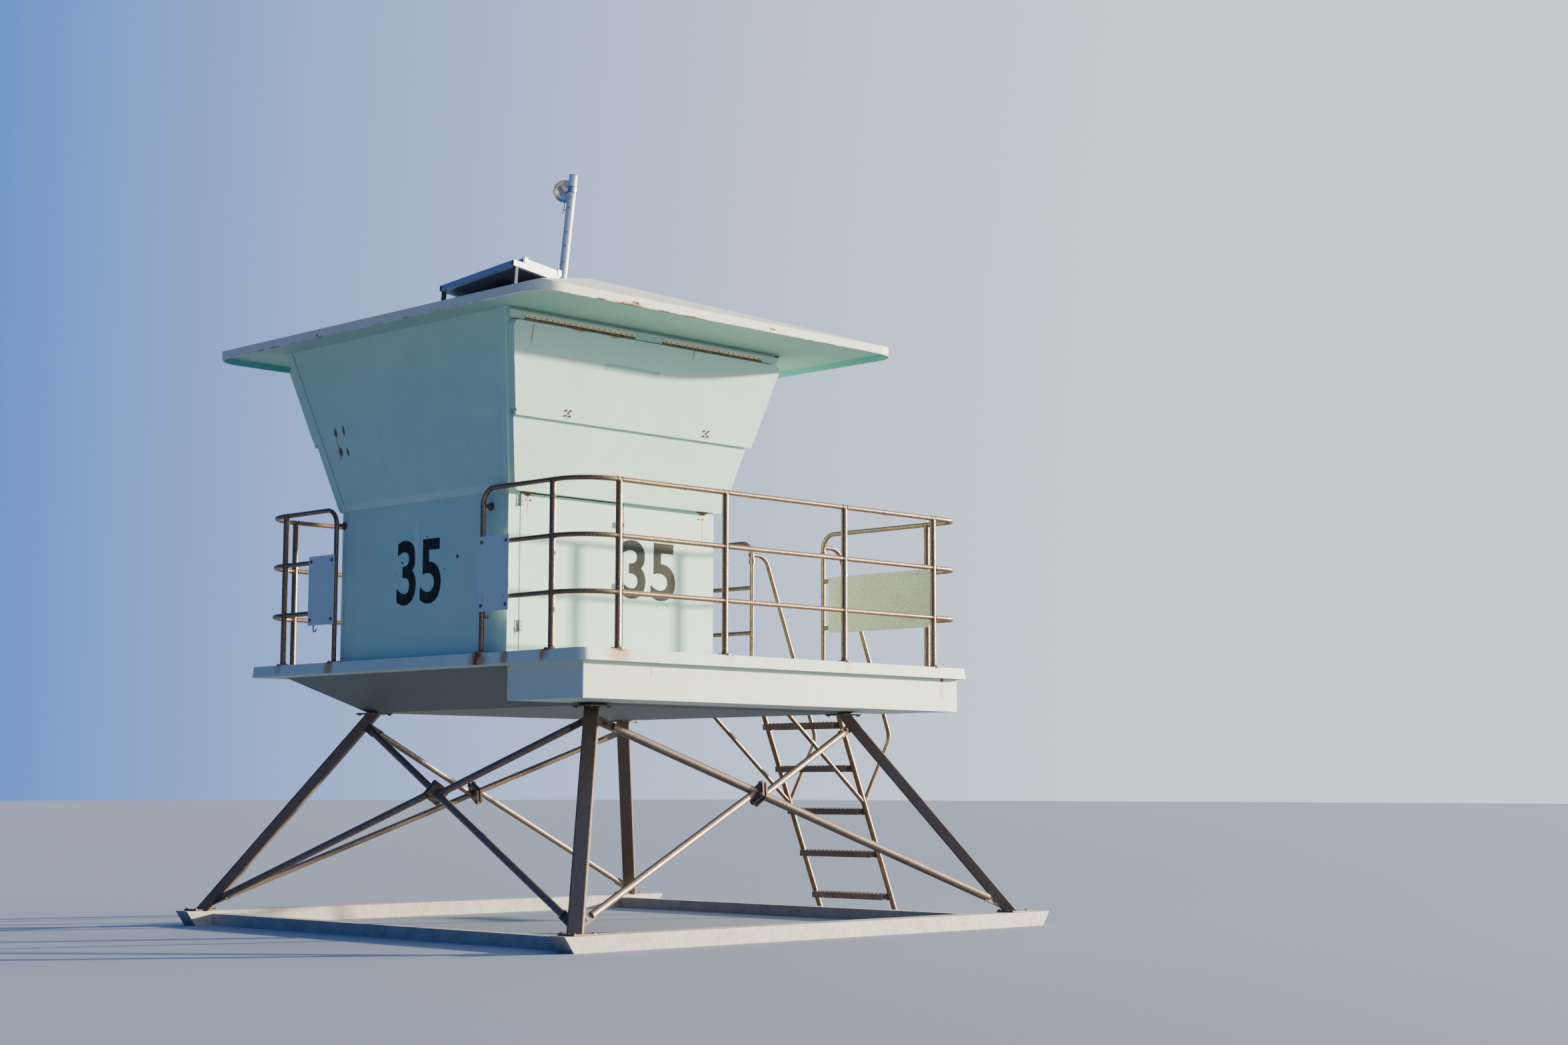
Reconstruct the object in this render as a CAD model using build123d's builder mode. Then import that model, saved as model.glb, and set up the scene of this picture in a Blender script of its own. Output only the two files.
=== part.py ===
"""Lifeguard tower: a flared cabin on a raised deck, carried by four splayed legs on a skid.

Millimetres. +Z is up, the back wall faces -Y and the ladder side faces +Y. Left is -X, right is +X.
"""
import os
from math import atan2, cos, degrees, hypot, radians, sin

from build123d import *

os.makedirs("parts", exist_ok=True)

# The deck stands back from the origin, because the ladder reaches further out than the roof.
mid_y = -174.0
fit_gap = 0.3  # between pieces that sit on each other without being one

# Deck, hull and side box
deck_width = 3658.0
deck_top = 1829.0
lip_height = 76.0
deck_corner = 60.0
floor_thickness = 25.0
rim_width = 190.0
hull_bottom_width = 2440.0
hull_bottom_z = 1503.0
hull_wall = 10.0
lip_draft = 8.0  # degrees
box_inset = 62.0
box_width = 737.0
box_bottom_z = 1520.0
box_wall = 8.0

# Cabin
cabin_width = 1829.0
cabin_x = 34.0
cabin_back_gap = 119.0  # from the deck's back edge to the back wall
wall_thickness = 38.0
wall_gap = 3.0
sill_z = 2880.0
joggle = 16.0  # the upper walls step out over the lower ones
flare = 302.0
ceiling_z = 4004.0
corner_band = 62.0
corner_band_proud = 8.0
window_side_margin = 130.0
window_sill_height = 70.0
window_head_height = 150.0

# Shutters, two to a side
shutter_skin = 10.0
shutter_depth = 36.0
shutter_lap_depth = 26.0
shutter_rim = 24.0
shutter_margin = 26.0
shutter_overhang_low, shutter_overhang_high = 14.0, 38.0
shutter_split_z = 3378.0
shutter_top_z = 3938.0
shutter_overlap = 22.0
shutter_corner = 42.0
header_depth = 30.0
hinge_strip_width = 38.0
hinge_strip_length = 930.0
hinge_strip_thickness = 4.0
hinge_strip_spacing = 1185.0
hinge_knuckle = 13.0

# Door in the right wall
door_from_corner = 92.0
door_width = 885.0
door_gap = 8.0
door_foot_gap = 15.0
hinge_height = 76.0
hinge_pin = 5.0
hinge_barrel = 13.0
hinge_leaf_width = 32.0
hinge_leaf_thickness = 3.0
hinge_levels = (178.0, 994.0)
latch_levels = (487.0, 900.0)
latch_size = (22.0, 52.0, 38.0)

# Roof
roof_left, roof_right = -1703.0, 1934.0
roof_back, roof_front = -2292.0, 981.0
roof_corner = 200.0
eave_z = 4034.0
fascia_height = 57.0
fascia_thickness = 14.0
roof_pitch = 0.3235
roof_back_pitch = 0.29
roof_skin = 10.0
soffit_thickness = 8.0
soffit_drop = 14.0

# Mast and dish
mast_x, mast_length = 82.0, 800.0
mast_diameter, mast_wall = 60.0, 4.0
mast_lean = 5.3
dish_diameter, dish_depth, dish_skin = 168.0, 52.0, 4.0
dish_offset, dish_drop = 51.0, 105.0

# Solar panel on its two rails
panel_size = (790.0, 330.0, 34.0)
panel_rail, panel_rail_length = (30.0, 40.0), 400.0
panel_foot, panel_foot_reach = 24.0, 260.0
panel_at = (432.0, -1600.0, 4405.0)  # middle of the rails' back end, on their top
panel_set_back = 100.0
panel_roll, panel_tilt = 4.6, 7.7

# Legs, skid and braces
runner_spread = 2050.0
leg_top_inset, leg_foot_inset = 32.0, 20.0  # from the hull's bottom edge and the runner's middle
leg_wide, leg_deep, leg_wall = 100.0, 78.0, 6.0
leg_plate, leg_foot_plate, leg_plate_thickness = 190.0, 148.0, 10.0
leg_overrun = 200.0  # past each plate, before the ends are cut level
runner_width, runner_height = 150.0, 102.0
runner_back, runner_front, runner_bevel = -2190.0, 2352.0, 75.0
cross_width, cross_height = 100.0, 80.0
brace_diameters = {"back": (48.0, 48.0), "left": (44.0, 44.0), "right": (58.0, 46.0)}  # main, other
brace_top_z, brace_foot_z = 1422.0, 146.0  # where the pipes aim at the legs
brace_tab_length, brace_tab = 165.0, 9.0
brace_plate, brace_plate_thickness, brace_plate_space = 132.0, 12.0, 16.0
brace_bolt_space, brace_spacer = 98.0, 18.0

# Railings
rail_inset = 50.0
rail_diameter, post_diameter = 33.0, 42.0
rail_levels = (355.6, 711.2, 1067.0)
back_bend, front_bend, rail_stub = 265.0, 128.0, 10.0
drop_bend = 110.0
post_foot_diameter, post_foot_thickness = 92.0, 8.0
corner_post_set_back, post_spacing = 284.0, 927.0
gap_left, gap_right = -346.0, 428.0  # the ladder's way through the front railing
back_end_left, back_end_right = -857.0, 775.0
wall_stub_drop, wall_stub_diameter, wall_flange_diameter = 110.0, 25.0, 56.0
sheet_from_gap, sheet_corner = 75.0, 40.0
board_left_x, board_right_x, board_z = -1000.0, 915.0, 2338.0
sheet_size = (1024.0, 425.0, 3.0)
board_size = (305.0, 485.0, 4.0)

# Ladder
ladder_half = 400.0
stringer_diameter, hand_diameter, stay_diameter = 42.0, 33.0, 33.0
ladder_slope = 0.425  # outward for each unit down
tread_levels = (160.0, 489.0, 818.0, 1147.0, 1476.0)
hand_bend = 130.0
hand_start_rise, hand_reach = 977.0, 200.0  # above the deck, and out from the railing's line
hand_belly, hand_belly_z = 300.0, 1370.0  # out from the stringers, at this height
hand_join_z = 862.0
stay_z = 1590.0
tread_depth, tread_height, tread_skin = 130.0, 46.0, 4.0
ladder_bracket = 12.0  # between the deck's edge and the stringers

half = deck_width / 2
deck_under = deck_top - lip_height
hull_top = half - rim_width
hull_bottom = hull_bottom_width / 2
cabin_left, cabin_right = cabin_x - cabin_width / 2, cabin_x + cabin_width / 2
cabin_back = -half + cabin_back_gap
cabin_front = cabin_back + cabin_width
rail_line = half - rail_inset
rail_tops = [deck_top + level for level in rail_levels]
corner_post = rail_line - corner_post_set_back
side_posts = (-corner_post, post_spacing - corner_post, corner_post - post_spacing, corner_post)
hull_slope = (hull_top - hull_bottom) / (deck_under - hull_bottom_z)
leg_top_spread = hull_bottom - leg_top_inset
leg_foot_spread = runner_spread - leg_foot_inset


def level(z):
    """A level sketch plane, centred on the deck's middle."""
    return Plane((0, mid_y, z))


def side_view(x):
    """An upright sketch plane across X: its own x is Y from the deck's middle, its own y is Z."""
    return Plane((x, mid_y, 0), x_dir=(0, 1, 0), z_dir=(1, 0, 0))


def back_view(y):
    """An upright sketch plane facing the back: its own x is X, its own y is Z."""
    return Plane((0, mid_y + y, 0), x_dir=(1, 0, 0), z_dir=(0, -1, 0))


def spot(x, y, z):
    """A point given from the deck's middle."""
    return Vector(x, mid_y + y, z)


def pipe(start, end, diameter, mode=Mode.ADD):
    """A round bar between two points, added to the part being built or cut from it."""
    axis = end - start
    with BuildSketch(Plane(start, z_dir=axis)) as disc:
        Circle(diameter / 2)
    extrude(disc.sketch, amount=axis.length, mode=mode)


def bent_pipe(points, diameter, bend, plane):
    """A round bar along a planar route with rounded corners, added to the part being built."""
    with BuildLine(plane) as route:
        FilletPolyline(*points, radius=bend)
    with BuildSketch(Plane(route.line @ 0, z_dir=route.line % 0)) as disc:
        Circle(diameter / 2)
    sweep(disc.sketch, path=route.line)


def tapered_block(low_z, high_z, low, high, mode=Mode.ADD):
    """A block whose level rectangle changes from low to high, each (left, right, back, front)."""
    ends = []
    for z, (left, right, back, front) in ((low_z, low), (high_z, high)):
        with BuildSketch(level(z)) as end:
            with Locations(((left + right) / 2, (back + front) / 2)):
                Rectangle(right - left, front - back)
        ends.append(end.sketch)
    loft(ends, ruled=True, mode=mode)


# Skid

runner_profile = [
    (runner_back, runner_height),
    (runner_back + runner_bevel, 0),
    (runner_front - runner_bevel, 0),
    (runner_front, runner_height),
]
with BuildPart() as runners:
    for side in (-1, 1):
        with BuildSketch(side_view(side * runner_spread - runner_width / 2)):
            with BuildLine():
                Polyline(*runner_profile, close=True)
            make_face()
        extrude(amount=runner_width)
    fillet(runners.edges().filter_by(Axis.Y).group_by(Axis.Z)[-1], 8)
runners.part.label = "skid_runners"
export_step(runners.part, "parts/skid_runners.step")

with BuildPart() as cross_beams:
    with BuildSketch(level(0)):
        with Locations((0, -leg_foot_spread + 100), (0, leg_foot_spread - 100)):
            Rectangle(2 * runner_spread - runner_width - 2 * fit_gap, cross_width)
    extrude(amount=cross_height)
cross_beams.part.label = "skid_cross_beams"
export_step(cross_beams.part, "parts/skid_cross_beams.step")

# Legs: a rectangular tube between two level plates, its wide face outward

leg_foot_z = runner_height + fit_gap
leg_top_z = hull_bottom_z - fit_gap
corners = (("back_left", -1, -1), ("back_right", 1, -1), ("front_left", -1, 1), ("front_right", 1, 1))
leg_forms = []
for name, side_x, side_y in corners:
    top = spot(side_x * leg_top_spread, side_y * leg_top_spread, leg_top_z)
    foot = spot(side_x * leg_foot_spread, side_y * leg_foot_spread, leg_foot_z)
    axis = (top - foot).normalized()
    across = Vector(-side_y, side_x, 0).normalized()
    with BuildPart() as leg:
        with BuildSketch(Plane(foot - axis * leg_overrun, x_dir=across, z_dir=axis)):
            RectangleRounded(leg_wide, leg_deep, 12)
            RectangleRounded(leg_wide - 2 * leg_wall, leg_deep - 2 * leg_wall, 6, mode=Mode.SUBTRACT)
        extrude(amount=(top - foot).length + 2 * leg_overrun)
        with BuildSketch(level(leg_foot_z)):
            Rectangle(3 * half, 3 * half)
        extrude(amount=leg_top_z - leg_foot_z, mode=Mode.INTERSECT)
        with BuildSketch(level(leg_foot_z)):
            with Locations((side_x * runner_spread, side_y * leg_foot_spread)):
                RectangleRounded(leg_foot_plate, leg_plate, 10)
        extrude(amount=leg_plate_thickness)
        with BuildSketch(level(leg_top_z - leg_plate_thickness)):
            with Locations((side_x * leg_top_spread, side_y * leg_top_spread)):
                RectangleRounded(leg_plate, leg_plate, 10)
        extrude(amount=leg_plate_thickness)
    leg.part.label = f"leg_{name}"
    export_step(leg.part, f"parts/leg_{name}.step")
    with BuildPart() as leg_form:
        with BuildSketch(Plane(foot - axis * leg_overrun, x_dir=across, z_dir=axis)):
            RectangleRounded(leg_wide + 2 * fit_gap, leg_deep + 2 * fit_gap, 12)
        extrude(amount=(top - foot).length + 2 * leg_overrun)
    leg_forms.append(leg_form.part)


# Braces: on three sides, an X whose two halves are bolted together at plates across its main pipe


def leg_lean(z):
    """How far the leg's middle is from the deck's middle at a height."""
    share = (leg_top_z - z) / (leg_top_z - leg_foot_z)
    return leg_top_spread + share * (leg_foot_spread - leg_top_spread)


def brace_arm(start, node, diameter, edge_way):
    """A brace pipe with a flattened end towards the leg, added to the part being built."""
    direction = (node - start).normalized()
    pipe(start, node - direction * brace_tab_length, diameter)
    along = edge_way.cross(direction)
    tab_start = node - direction * (brace_tab_length + 30)
    with BuildSketch(Plane(tab_start, x_dir=along, z_dir=direction)) as tab:
        Rectangle(diameter * 1.3, brace_tab)
    extrude(tab.sketch, amount=brace_tab_length + 30)


def leg_point(out_x, out_y, way, z):
    """The leg's middle at a height, on one end of a side."""
    lean = leg_lean(z)
    return spot(out_x * lean - out_y * way * lean, out_y * lean + out_x * way * lean, z)


for side, out_x, out_y in (("back", 0, -1), ("left", -1, 0), ("right", 1, 0)):
    main_diameter, other_diameter = brace_diameters[side]
    main_top, other_top = (leg_point(out_x, out_y, way, brace_top_z) for way in (-1, 1))
    other_foot, main_foot = (leg_point(out_x, out_y, way, brace_foot_z) for way in (-1, 1))
    main_way = (main_foot - main_top).normalized()
    share = leg_lean(brace_top_z) / (leg_lean(brace_top_z) + leg_lean(brace_foot_z))
    crossing = main_top + (main_foot - main_top) * share
    face_way = (main_foot - main_top).cross(other_foot - other_top).normalized()
    with BuildPart() as brace:
        for way, main_end, other_end in ((-1, main_top, other_foot), (1, main_foot, other_top)):
            plate_at = crossing + main_way * (way * brace_plate_space / 2)
            with BuildSketch(Plane(plate_at, x_dir=face_way, z_dir=main_way * way)):
                RectangleRounded(brace_plate, brace_plate, 10)
            extrude(amount=brace_plate_thickness)
            brace_arm(plate_at + main_way * way, main_end, main_diameter, face_way)
            brace_arm(plate_at + main_way * (way * other_diameter / 2), other_end, other_diameter, face_way)
        for form in leg_forms:
            add(form, mode=Mode.SUBTRACT)
        spacer_start = crossing - main_way * (brace_plate_space / 2)
        with BuildSketch(Plane(spacer_start, x_dir=face_way, z_dir=main_way)):
            with GridLocations(brace_bolt_space, brace_bolt_space, 2, 2):
                Circle(brace_spacer / 2)
        extrude(amount=brace_plate_space)
    brace.part.label = f"braces_{side}"
    export_step(brace.part, f"parts/braces_{side}.step")

# Hull: a shallow tapered tub hung under the deck

with BuildPart() as hull:
    outer_low = (-hull_bottom, hull_bottom, -hull_bottom, hull_bottom)
    outer_high = (-hull_top, hull_top, -hull_top, hull_top)
    tapered_block(hull_bottom_z, deck_under - fit_gap, outer_low, outer_high)
    fillet(hull.edges().group_by(Axis.Z)[0], 15)
    inner_low = tuple(edge - hull_wall if edge > 0 else edge + hull_wall for edge in outer_low)
    inner_high = tuple(edge - hull_wall if edge > 0 else edge + hull_wall for edge in outer_high)
    tapered_block(hull_bottom_z + hull_wall, deck_under, inner_low, inner_high, Mode.SUBTRACT)
hull.part.label = "hull"
export_step(hull.part, "parts/hull.step")

# Deck: a slab with a deep lip, recessed from below over the hull

with BuildPart() as deck:
    with BuildSketch(level(deck_under)):
        RectangleRounded(deck_width, deck_width, deck_corner)
    extrude(amount=lip_height, taper=lip_draft)
    with BuildSketch(level(deck_under)):
        Rectangle(2 * hull_top - 60, 2 * hull_top - 60)
    extrude(amount=lip_height - floor_thickness, mode=Mode.SUBTRACT)
deck.part.label = "deck"
export_step(deck.part, "parts/deck.step")

# Side box: a long trunk under the right walkway, fitted round the hull's slope

box_right = half - box_inset
box_left = box_right - box_width
with BuildPart() as hull_form:
    form_low = tuple(edge + 4 * (1 if edge > 0 else -1) for edge in outer_low)
    form_high = tuple(edge + 4 * (1 if edge > 0 else -1) for edge in outer_high)
    tapered_block(hull_bottom_z, deck_under + 1, form_low, form_high)
with BuildPart() as side_box:
    with BuildSketch(level(box_bottom_z)):
        with Locations(((box_left + box_right) / 2, 0)):
            Rectangle(box_width, 2 * box_right)
    extrude(amount=deck_under - fit_gap - box_bottom_z)
    fillet(side_box.edges().filter_by(Axis.Z), 6)
    with BuildSketch(level(box_bottom_z + box_wall)):
        with Locations(((box_left + box_right) / 2, 0)):
            Rectangle(box_width - 2 * box_wall, 2 * box_right - 2 * box_wall)
    extrude(amount=deck_under - box_bottom_z, mode=Mode.SUBTRACT)
    add(hull_form.part, mode=Mode.SUBTRACT)
side_box.part.label = "side_box"
export_step(side_box.part, "parts/side_box.step")

# Lower walls, upright, from the deck to the sill line

wall_foot_z = deck_top + fit_gap
door_start = cabin_back + door_from_corner
door_end = door_start + door_width + 2 * door_gap
inner_left, inner_right = cabin_left + wall_thickness, cabin_right - wall_thickness
lower_walls = {
    "left": (cabin_left, inner_left, cabin_back, cabin_front),
    "back": (inner_left + wall_gap, inner_right - wall_gap, cabin_back, cabin_back + wall_thickness),
    "front": (inner_left + wall_gap, inner_right - wall_gap, cabin_front - wall_thickness, cabin_front),
    "right_by_hinges": (inner_right, cabin_right, cabin_back, door_start),
    "right_by_latch": (inner_right, cabin_right, door_end, cabin_front),
}
for name, plan in lower_walls.items():
    with BuildPart() as lower_wall:
        tapered_block(wall_foot_z, sill_z - fit_gap, plan, plan)
    lower_wall.part.label = f"lower_wall_{name}"
    export_step(lower_wall.part, f"parts/lower_wall_{name}.step")

# Upper walls, flared outward on all four sides: the back one is closed, the others hold a window

wall_top_z = ceiling_z - fit_gap
flare_slope = (flare - joggle) / (ceiling_z - sill_z)


def flared(plan, z, outward):
    """A plan rectangle moved outward to where the flare has it at a height."""
    move = joggle + (z - sill_z) * flare_slope
    return tuple(edge + move * way for edge, way in zip(plan, outward))


def flared_block(plan, outward, low_z, high_z, mode=Mode.ADD):
    """A block that leans out with the flare, added to the part being built or cut from it."""
    tapered_block(low_z, high_z, flared(plan, low_z, outward), flared(plan, high_z, outward), mode)


window_low_z = sill_z + window_sill_height
window_high_z = ceiling_z - window_head_height
band_back, band_front = cabin_back, cabin_back + wall_thickness + corner_band_proud
for name, side in (("left", -1), ("right", 1)):
    outer, inner = (cabin_left, inner_left) if side < 0 else (cabin_right, inner_right)
    band_inner = outer - side * corner_band
    plan = (min(outer, inner), max(outer, inner), cabin_back, cabin_front)
    band = (min(outer, band_inner), max(outer, band_inner), band_back, band_front)
    hole = (plan[0] - 60, plan[1] + 60, cabin_back + window_side_margin, cabin_front - window_side_margin)
    with BuildPart() as upper_wall:
        flared_block(plan, (side, side, -1, 1), sill_z, wall_top_z)
        flared_block(band, (side, side, -1, -1), sill_z, wall_top_z)
        flared_block(hole, (side, side, -1, 1), window_low_z, window_high_z, Mode.SUBTRACT)
    upper_wall.part.label = f"upper_wall_{name}"
    export_step(upper_wall.part, f"parts/upper_wall_{name}.step")

back_plan = (
    cabin_left + corner_band + wall_gap,
    cabin_right - corner_band - wall_gap,
    cabin_back + corner_band_proud,
    cabin_back + corner_band_proud + wall_thickness,
)
with BuildPart() as upper_back:
    flared_block(back_plan, (-1, 1, -1, -1), sill_z, wall_top_z)
upper_back.part.label = "upper_wall_back"
export_step(upper_back.part, "parts/upper_wall_back.step")

front_plan = (inner_left + wall_gap, inner_right - wall_gap, cabin_front - wall_thickness, cabin_front)
front_hole = (
    front_plan[0] + window_side_margin,
    front_plan[1] - window_side_margin,
    front_plan[2] - 60,
    front_plan[3] + 60,
)
with BuildPart() as upper_front:
    flared_block(front_plan, (-1, 1, 1, 1), sill_z, wall_top_z)
    flared_block(front_hole, (-1, 1, 1, 1), window_low_z, window_high_z, Mode.SUBTRACT)
upper_front.part.label = "upper_wall_front"
export_step(upper_front.part, "parts/upper_wall_front.step")

# Shutters: shallow pans over the windows, the upper one lapping over the lower one

flare_length = hypot(1, flare_slope)
cabin_y = (cabin_back + cabin_front) / 2
sides = {
    "right": (Vector(cabin_right, cabin_y, 0), Vector(1, 0, 0), Vector(0, 1, 0)),
    "left": (Vector(cabin_left, cabin_y, 0), Vector(-1, 0, 0), Vector(0, -1, 0)),
    "front": (Vector(cabin_x, cabin_front, 0), Vector(0, 1, 0), Vector(-1, 0, 0)),
}


def wall_plane(side, stand_off):
    """A plane on a flared wall's face, moved outward: its own y runs up the slope from the sill."""
    middle, out, along = sides[side]
    up = (out * flare_slope + Vector(0, 0, 1)).normalized()
    normal = along.cross(up)
    origin = middle + out * joggle + Vector(0, mid_y, sill_z) + normal * stand_off
    return Plane(origin, x_dir=along, z_dir=normal)


def slope_height(z):
    """The distance up the flared wall from the sill to a height."""
    return (z - sill_z) * flare_length


def wall_patch(side, low_z, high_z, overhang, inset):
    """Four corners on a flared wall: set in from the back corners, and out past the front ones."""
    back_margin, front_margin = shutter_margin + inset, inset - overhang
    margins = {
        "right": (back_margin, front_margin),
        "left": (front_margin, back_margin),
        "front": (back_margin, back_margin),
    }[side]
    low, high = slope_height(low_z) + inset, slope_height(high_z) - inset
    low_half = cabin_width / 2 + joggle + (low_z - sill_z) * flare_slope
    high_half = cabin_width / 2 + joggle + (high_z - sill_z) * flare_slope
    return [
        (margins[0] - low_half, low),
        (low_half - margins[1], low),
        (high_half - margins[1], high),
        (margins[0] - high_half, high),
    ]


def pan(side, low_z, high_z, overhang, depth, rounded):
    """A shallow pan with an open back, added to the part being built."""
    with BuildSketch(wall_plane(side, fit_gap)) as outline:
        with BuildLine():
            Polyline(*wall_patch(side, low_z, high_z, overhang, 0), close=True)
        make_face()
        fillet(outline.vertices().group_by(Axis.Z)[rounded], shutter_corner)
    extrude(outline.sketch, amount=depth)
    with BuildSketch(wall_plane(side, fit_gap)) as hollow:
        with BuildLine():
            Polyline(*wall_patch(side, low_z, high_z, overhang, shutter_rim), close=True)
        make_face()
    extrude(hollow.sketch, amount=depth - shutter_skin, mode=Mode.SUBTRACT)


def patch_block(side, low_z, high_z, overhang, stand_off, depth):
    """A flat slab on a flared wall, added to the part being built."""
    with BuildSketch(wall_plane(side, stand_off)) as patch:
        with BuildLine():
            Polyline(*wall_patch(side, low_z, high_z, overhang, 0), close=True)
        make_face()
    extrude(patch.sketch, amount=depth)


for side in sides:
    with BuildPart() as lower_shutter:
        pan(side, sill_z + 6, shutter_split_z - 4, shutter_overhang_low, shutter_depth, 0)
    lower_shutter.part.label = f"shutter_{side}_lower"
    export_step(lower_shutter.part, f"parts/shutter_{side}_lower.step")

    with BuildPart() as upper_shutter:
        upper_depth = shutter_depth + fit_gap + shutter_lap_depth
        pan(side, shutter_split_z, shutter_top_z, shutter_overhang_high, upper_depth, -1)
        lap_low_z = shutter_split_z - shutter_overlap
        lap_at = shutter_depth + 2 * fit_gap
        patch_block(side, lap_low_z, shutter_split_z + 2, shutter_overhang_high, lap_at, shutter_lap_depth)
    upper_shutter.part.label = f"shutter_{side}_upper"
    export_step(upper_shutter.part, f"parts/shutter_{side}_upper.step")

with BuildPart() as headers:
    for side in sides:
        patch_block(side, shutter_top_z + 5, ceiling_z - 12, shutter_overhang_low, fit_gap, header_depth)
headers.part.label = "shutter_headers"
export_step(headers.part, "parts/shutter_headers.step")

with BuildPart() as hinge_strips:
    for side in sides:
        strip_low = slope_height(shutter_top_z) + 6
        strip_middle = strip_low + hinge_strip_width / 2
        with BuildSketch(wall_plane(side, header_depth + 2 * fit_gap)):
            with Locations((0, strip_middle)):
                with GridLocations(hinge_strip_spacing, 0, 2, 1):
                    Rectangle(hinge_strip_length, hinge_strip_width)
        extrude(amount=hinge_strip_thickness)
        for step in (-1, 1):
            plane = wall_plane(side, header_depth + 2 * fit_gap + hinge_knuckle / 2)
            start_x = (step * hinge_strip_spacing - hinge_strip_length) / 2
            knuckle_start = plane.from_local_coords(Vector(start_x, strip_low + hinge_knuckle / 2, 0))
            pipe(knuckle_start, knuckle_start + plane.x_dir * hinge_strip_length, hinge_knuckle)
hinge_strips.part.label = "shutter_hinge_strips"
export_step(hinge_strips.part, "parts/shutter_hinge_strips.step")

# Door, its two hinges and its latches

door_low_z = deck_top + door_foot_gap
door_high_z = sill_z - door_gap
leaf_start = door_start + door_gap
leaf_end = leaf_start + door_width
pin_x = cabin_right + hinge_barrel / 2 + 1
pin_y = door_start + door_gap / 2
with BuildPart() as door:
    with BuildSketch(level(door_low_z)):
        with Locations(((inner_right + cabin_right) / 2, (leaf_start + leaf_end) / 2)):
            RectangleRounded(wall_thickness, door_width, 3)
    extrude(amount=door_high_z - door_low_z)
door.part.label = "door_leaf"
export_step(door.part, "parts/door_leaf.step")

knuckle = hinge_height / 3


def hinge_plate(z, way):
    """One hinge leaf lying on the wall or on the door, added to the part being built."""
    plate_y = pin_y + way * hinge_leaf_width / 2
    with BuildSketch(level(z)) as plate:
        with Locations((cabin_right + fit_gap + hinge_leaf_thickness / 2, plate_y)):
            Rectangle(hinge_leaf_thickness, hinge_leaf_width)
    extrude(plate.sketch, amount=hinge_height)


with BuildPart() as wall_hinges:
    for rise in hinge_levels:
        z = deck_top + rise - hinge_height / 2
        hinge_plate(z, -1)
        with BuildSketch(level(z)):
            with Locations((pin_x, pin_y)):
                Circle(hinge_barrel / 2)
        extrude(amount=hinge_height)
        with BuildSketch(level(z + knuckle)):
            with Locations((pin_x, pin_y)):
                Circle(hinge_barrel / 2 + 3)
                Circle(hinge_pin / 2, mode=Mode.SUBTRACT)
        extrude(amount=knuckle, mode=Mode.SUBTRACT)
wall_hinges.part.label = "door_hinges_wall_side"
export_step(wall_hinges.part, "parts/door_hinges_wall_side.step")

with BuildPart() as leaf_hinges:
    for rise in hinge_levels:
        z = deck_top + rise - hinge_height / 2
        hinge_plate(z, 1)
        with BuildSketch(level(z)):
            with Locations((pin_x, pin_y)):
                Rectangle(hinge_barrel + 6, hinge_barrel + 6)
        extrude(amount=hinge_height, mode=Mode.SUBTRACT)
        with BuildSketch(level(z + knuckle + fit_gap)):
            with Locations((pin_x, pin_y)):
                Circle(hinge_barrel / 2)
            with Locations((cabin_right + fit_gap + hinge_leaf_thickness / 2, pin_y + 6)):
                Rectangle(hinge_leaf_thickness, 12)
            with Locations((pin_x, pin_y)):
                Circle(hinge_pin / 2 + 0.08, mode=Mode.SUBTRACT)
        extrude(amount=knuckle - 2 * fit_gap)
leaf_hinges.part.label = "door_hinges_leaf_side"
export_step(leaf_hinges.part, "parts/door_hinges_leaf_side.step")

with BuildPart() as latches:
    for rise in latch_levels:
        with BuildSketch(level(deck_top + rise - latch_size[2] / 2)):
            with Locations((cabin_right + fit_gap + latch_size[0] / 2, leaf_end - latch_size[1] / 2 - 4)):
                RectangleRounded(latch_size[0], latch_size[1], 5)
        extrude(amount=latch_size[2])
latches.part.label = "door_latches"
export_step(latches.part, "parts/door_latches.step")

# Roof: a low hipped shell with a deep rounded lip, and a soffit that closes it below

roof_x, roof_y = (roof_left + roof_right) / 2, (roof_back + roof_front) / 2
roof_width, roof_length = roof_right - roof_left, roof_front - roof_back
ridge_y = (roof_pitch * roof_front + roof_back_pitch * roof_back) / (roof_pitch + roof_back_pitch)
ridge_z = eave_z + roof_pitch * (roof_front - ridge_y)


def hipped_block(plan_inset, corner, low_z, lowered):
    """The roof's outer form as a solid, drawn in and lowered, added to the part being built."""
    high_z = ridge_z - lowered
    with BuildSketch(level(low_z)) as plan:
        with Locations((roof_x, roof_y)):
            RectangleRounded(roof_width - 2 * plan_inset, roof_length - 2 * plan_inset, corner)
    extrude(plan.sketch, amount=high_z + 50 - low_z)
    rise = high_z - (eave_z - lowered)
    left, right = roof_left + rise / roof_pitch, roof_right - rise / roof_pitch
    with BuildSketch(back_view(roof_front + 10)) as width_profile:
        with BuildLine():
            Polyline(
                (roof_left, low_z), (roof_right, low_z), (roof_right, eave_z - lowered),
                (right, high_z), (left, high_z), (roof_left, eave_z - lowered), close=True,
            )
        make_face()
    extrude(width_profile.sketch, amount=roof_length + 20, mode=Mode.INTERSECT)
    with BuildSketch(side_view(roof_left - 10)) as length_profile:
        with BuildLine():
            Polyline(
                (roof_back, low_z), (roof_front, low_z), (roof_front, eave_z - lowered),
                (ridge_y, high_z), (roof_back, eave_z - lowered), close=True,
            )
        make_face()
    extrude(length_profile.sketch, amount=roof_width + 20, mode=Mode.INTERSECT)


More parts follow.
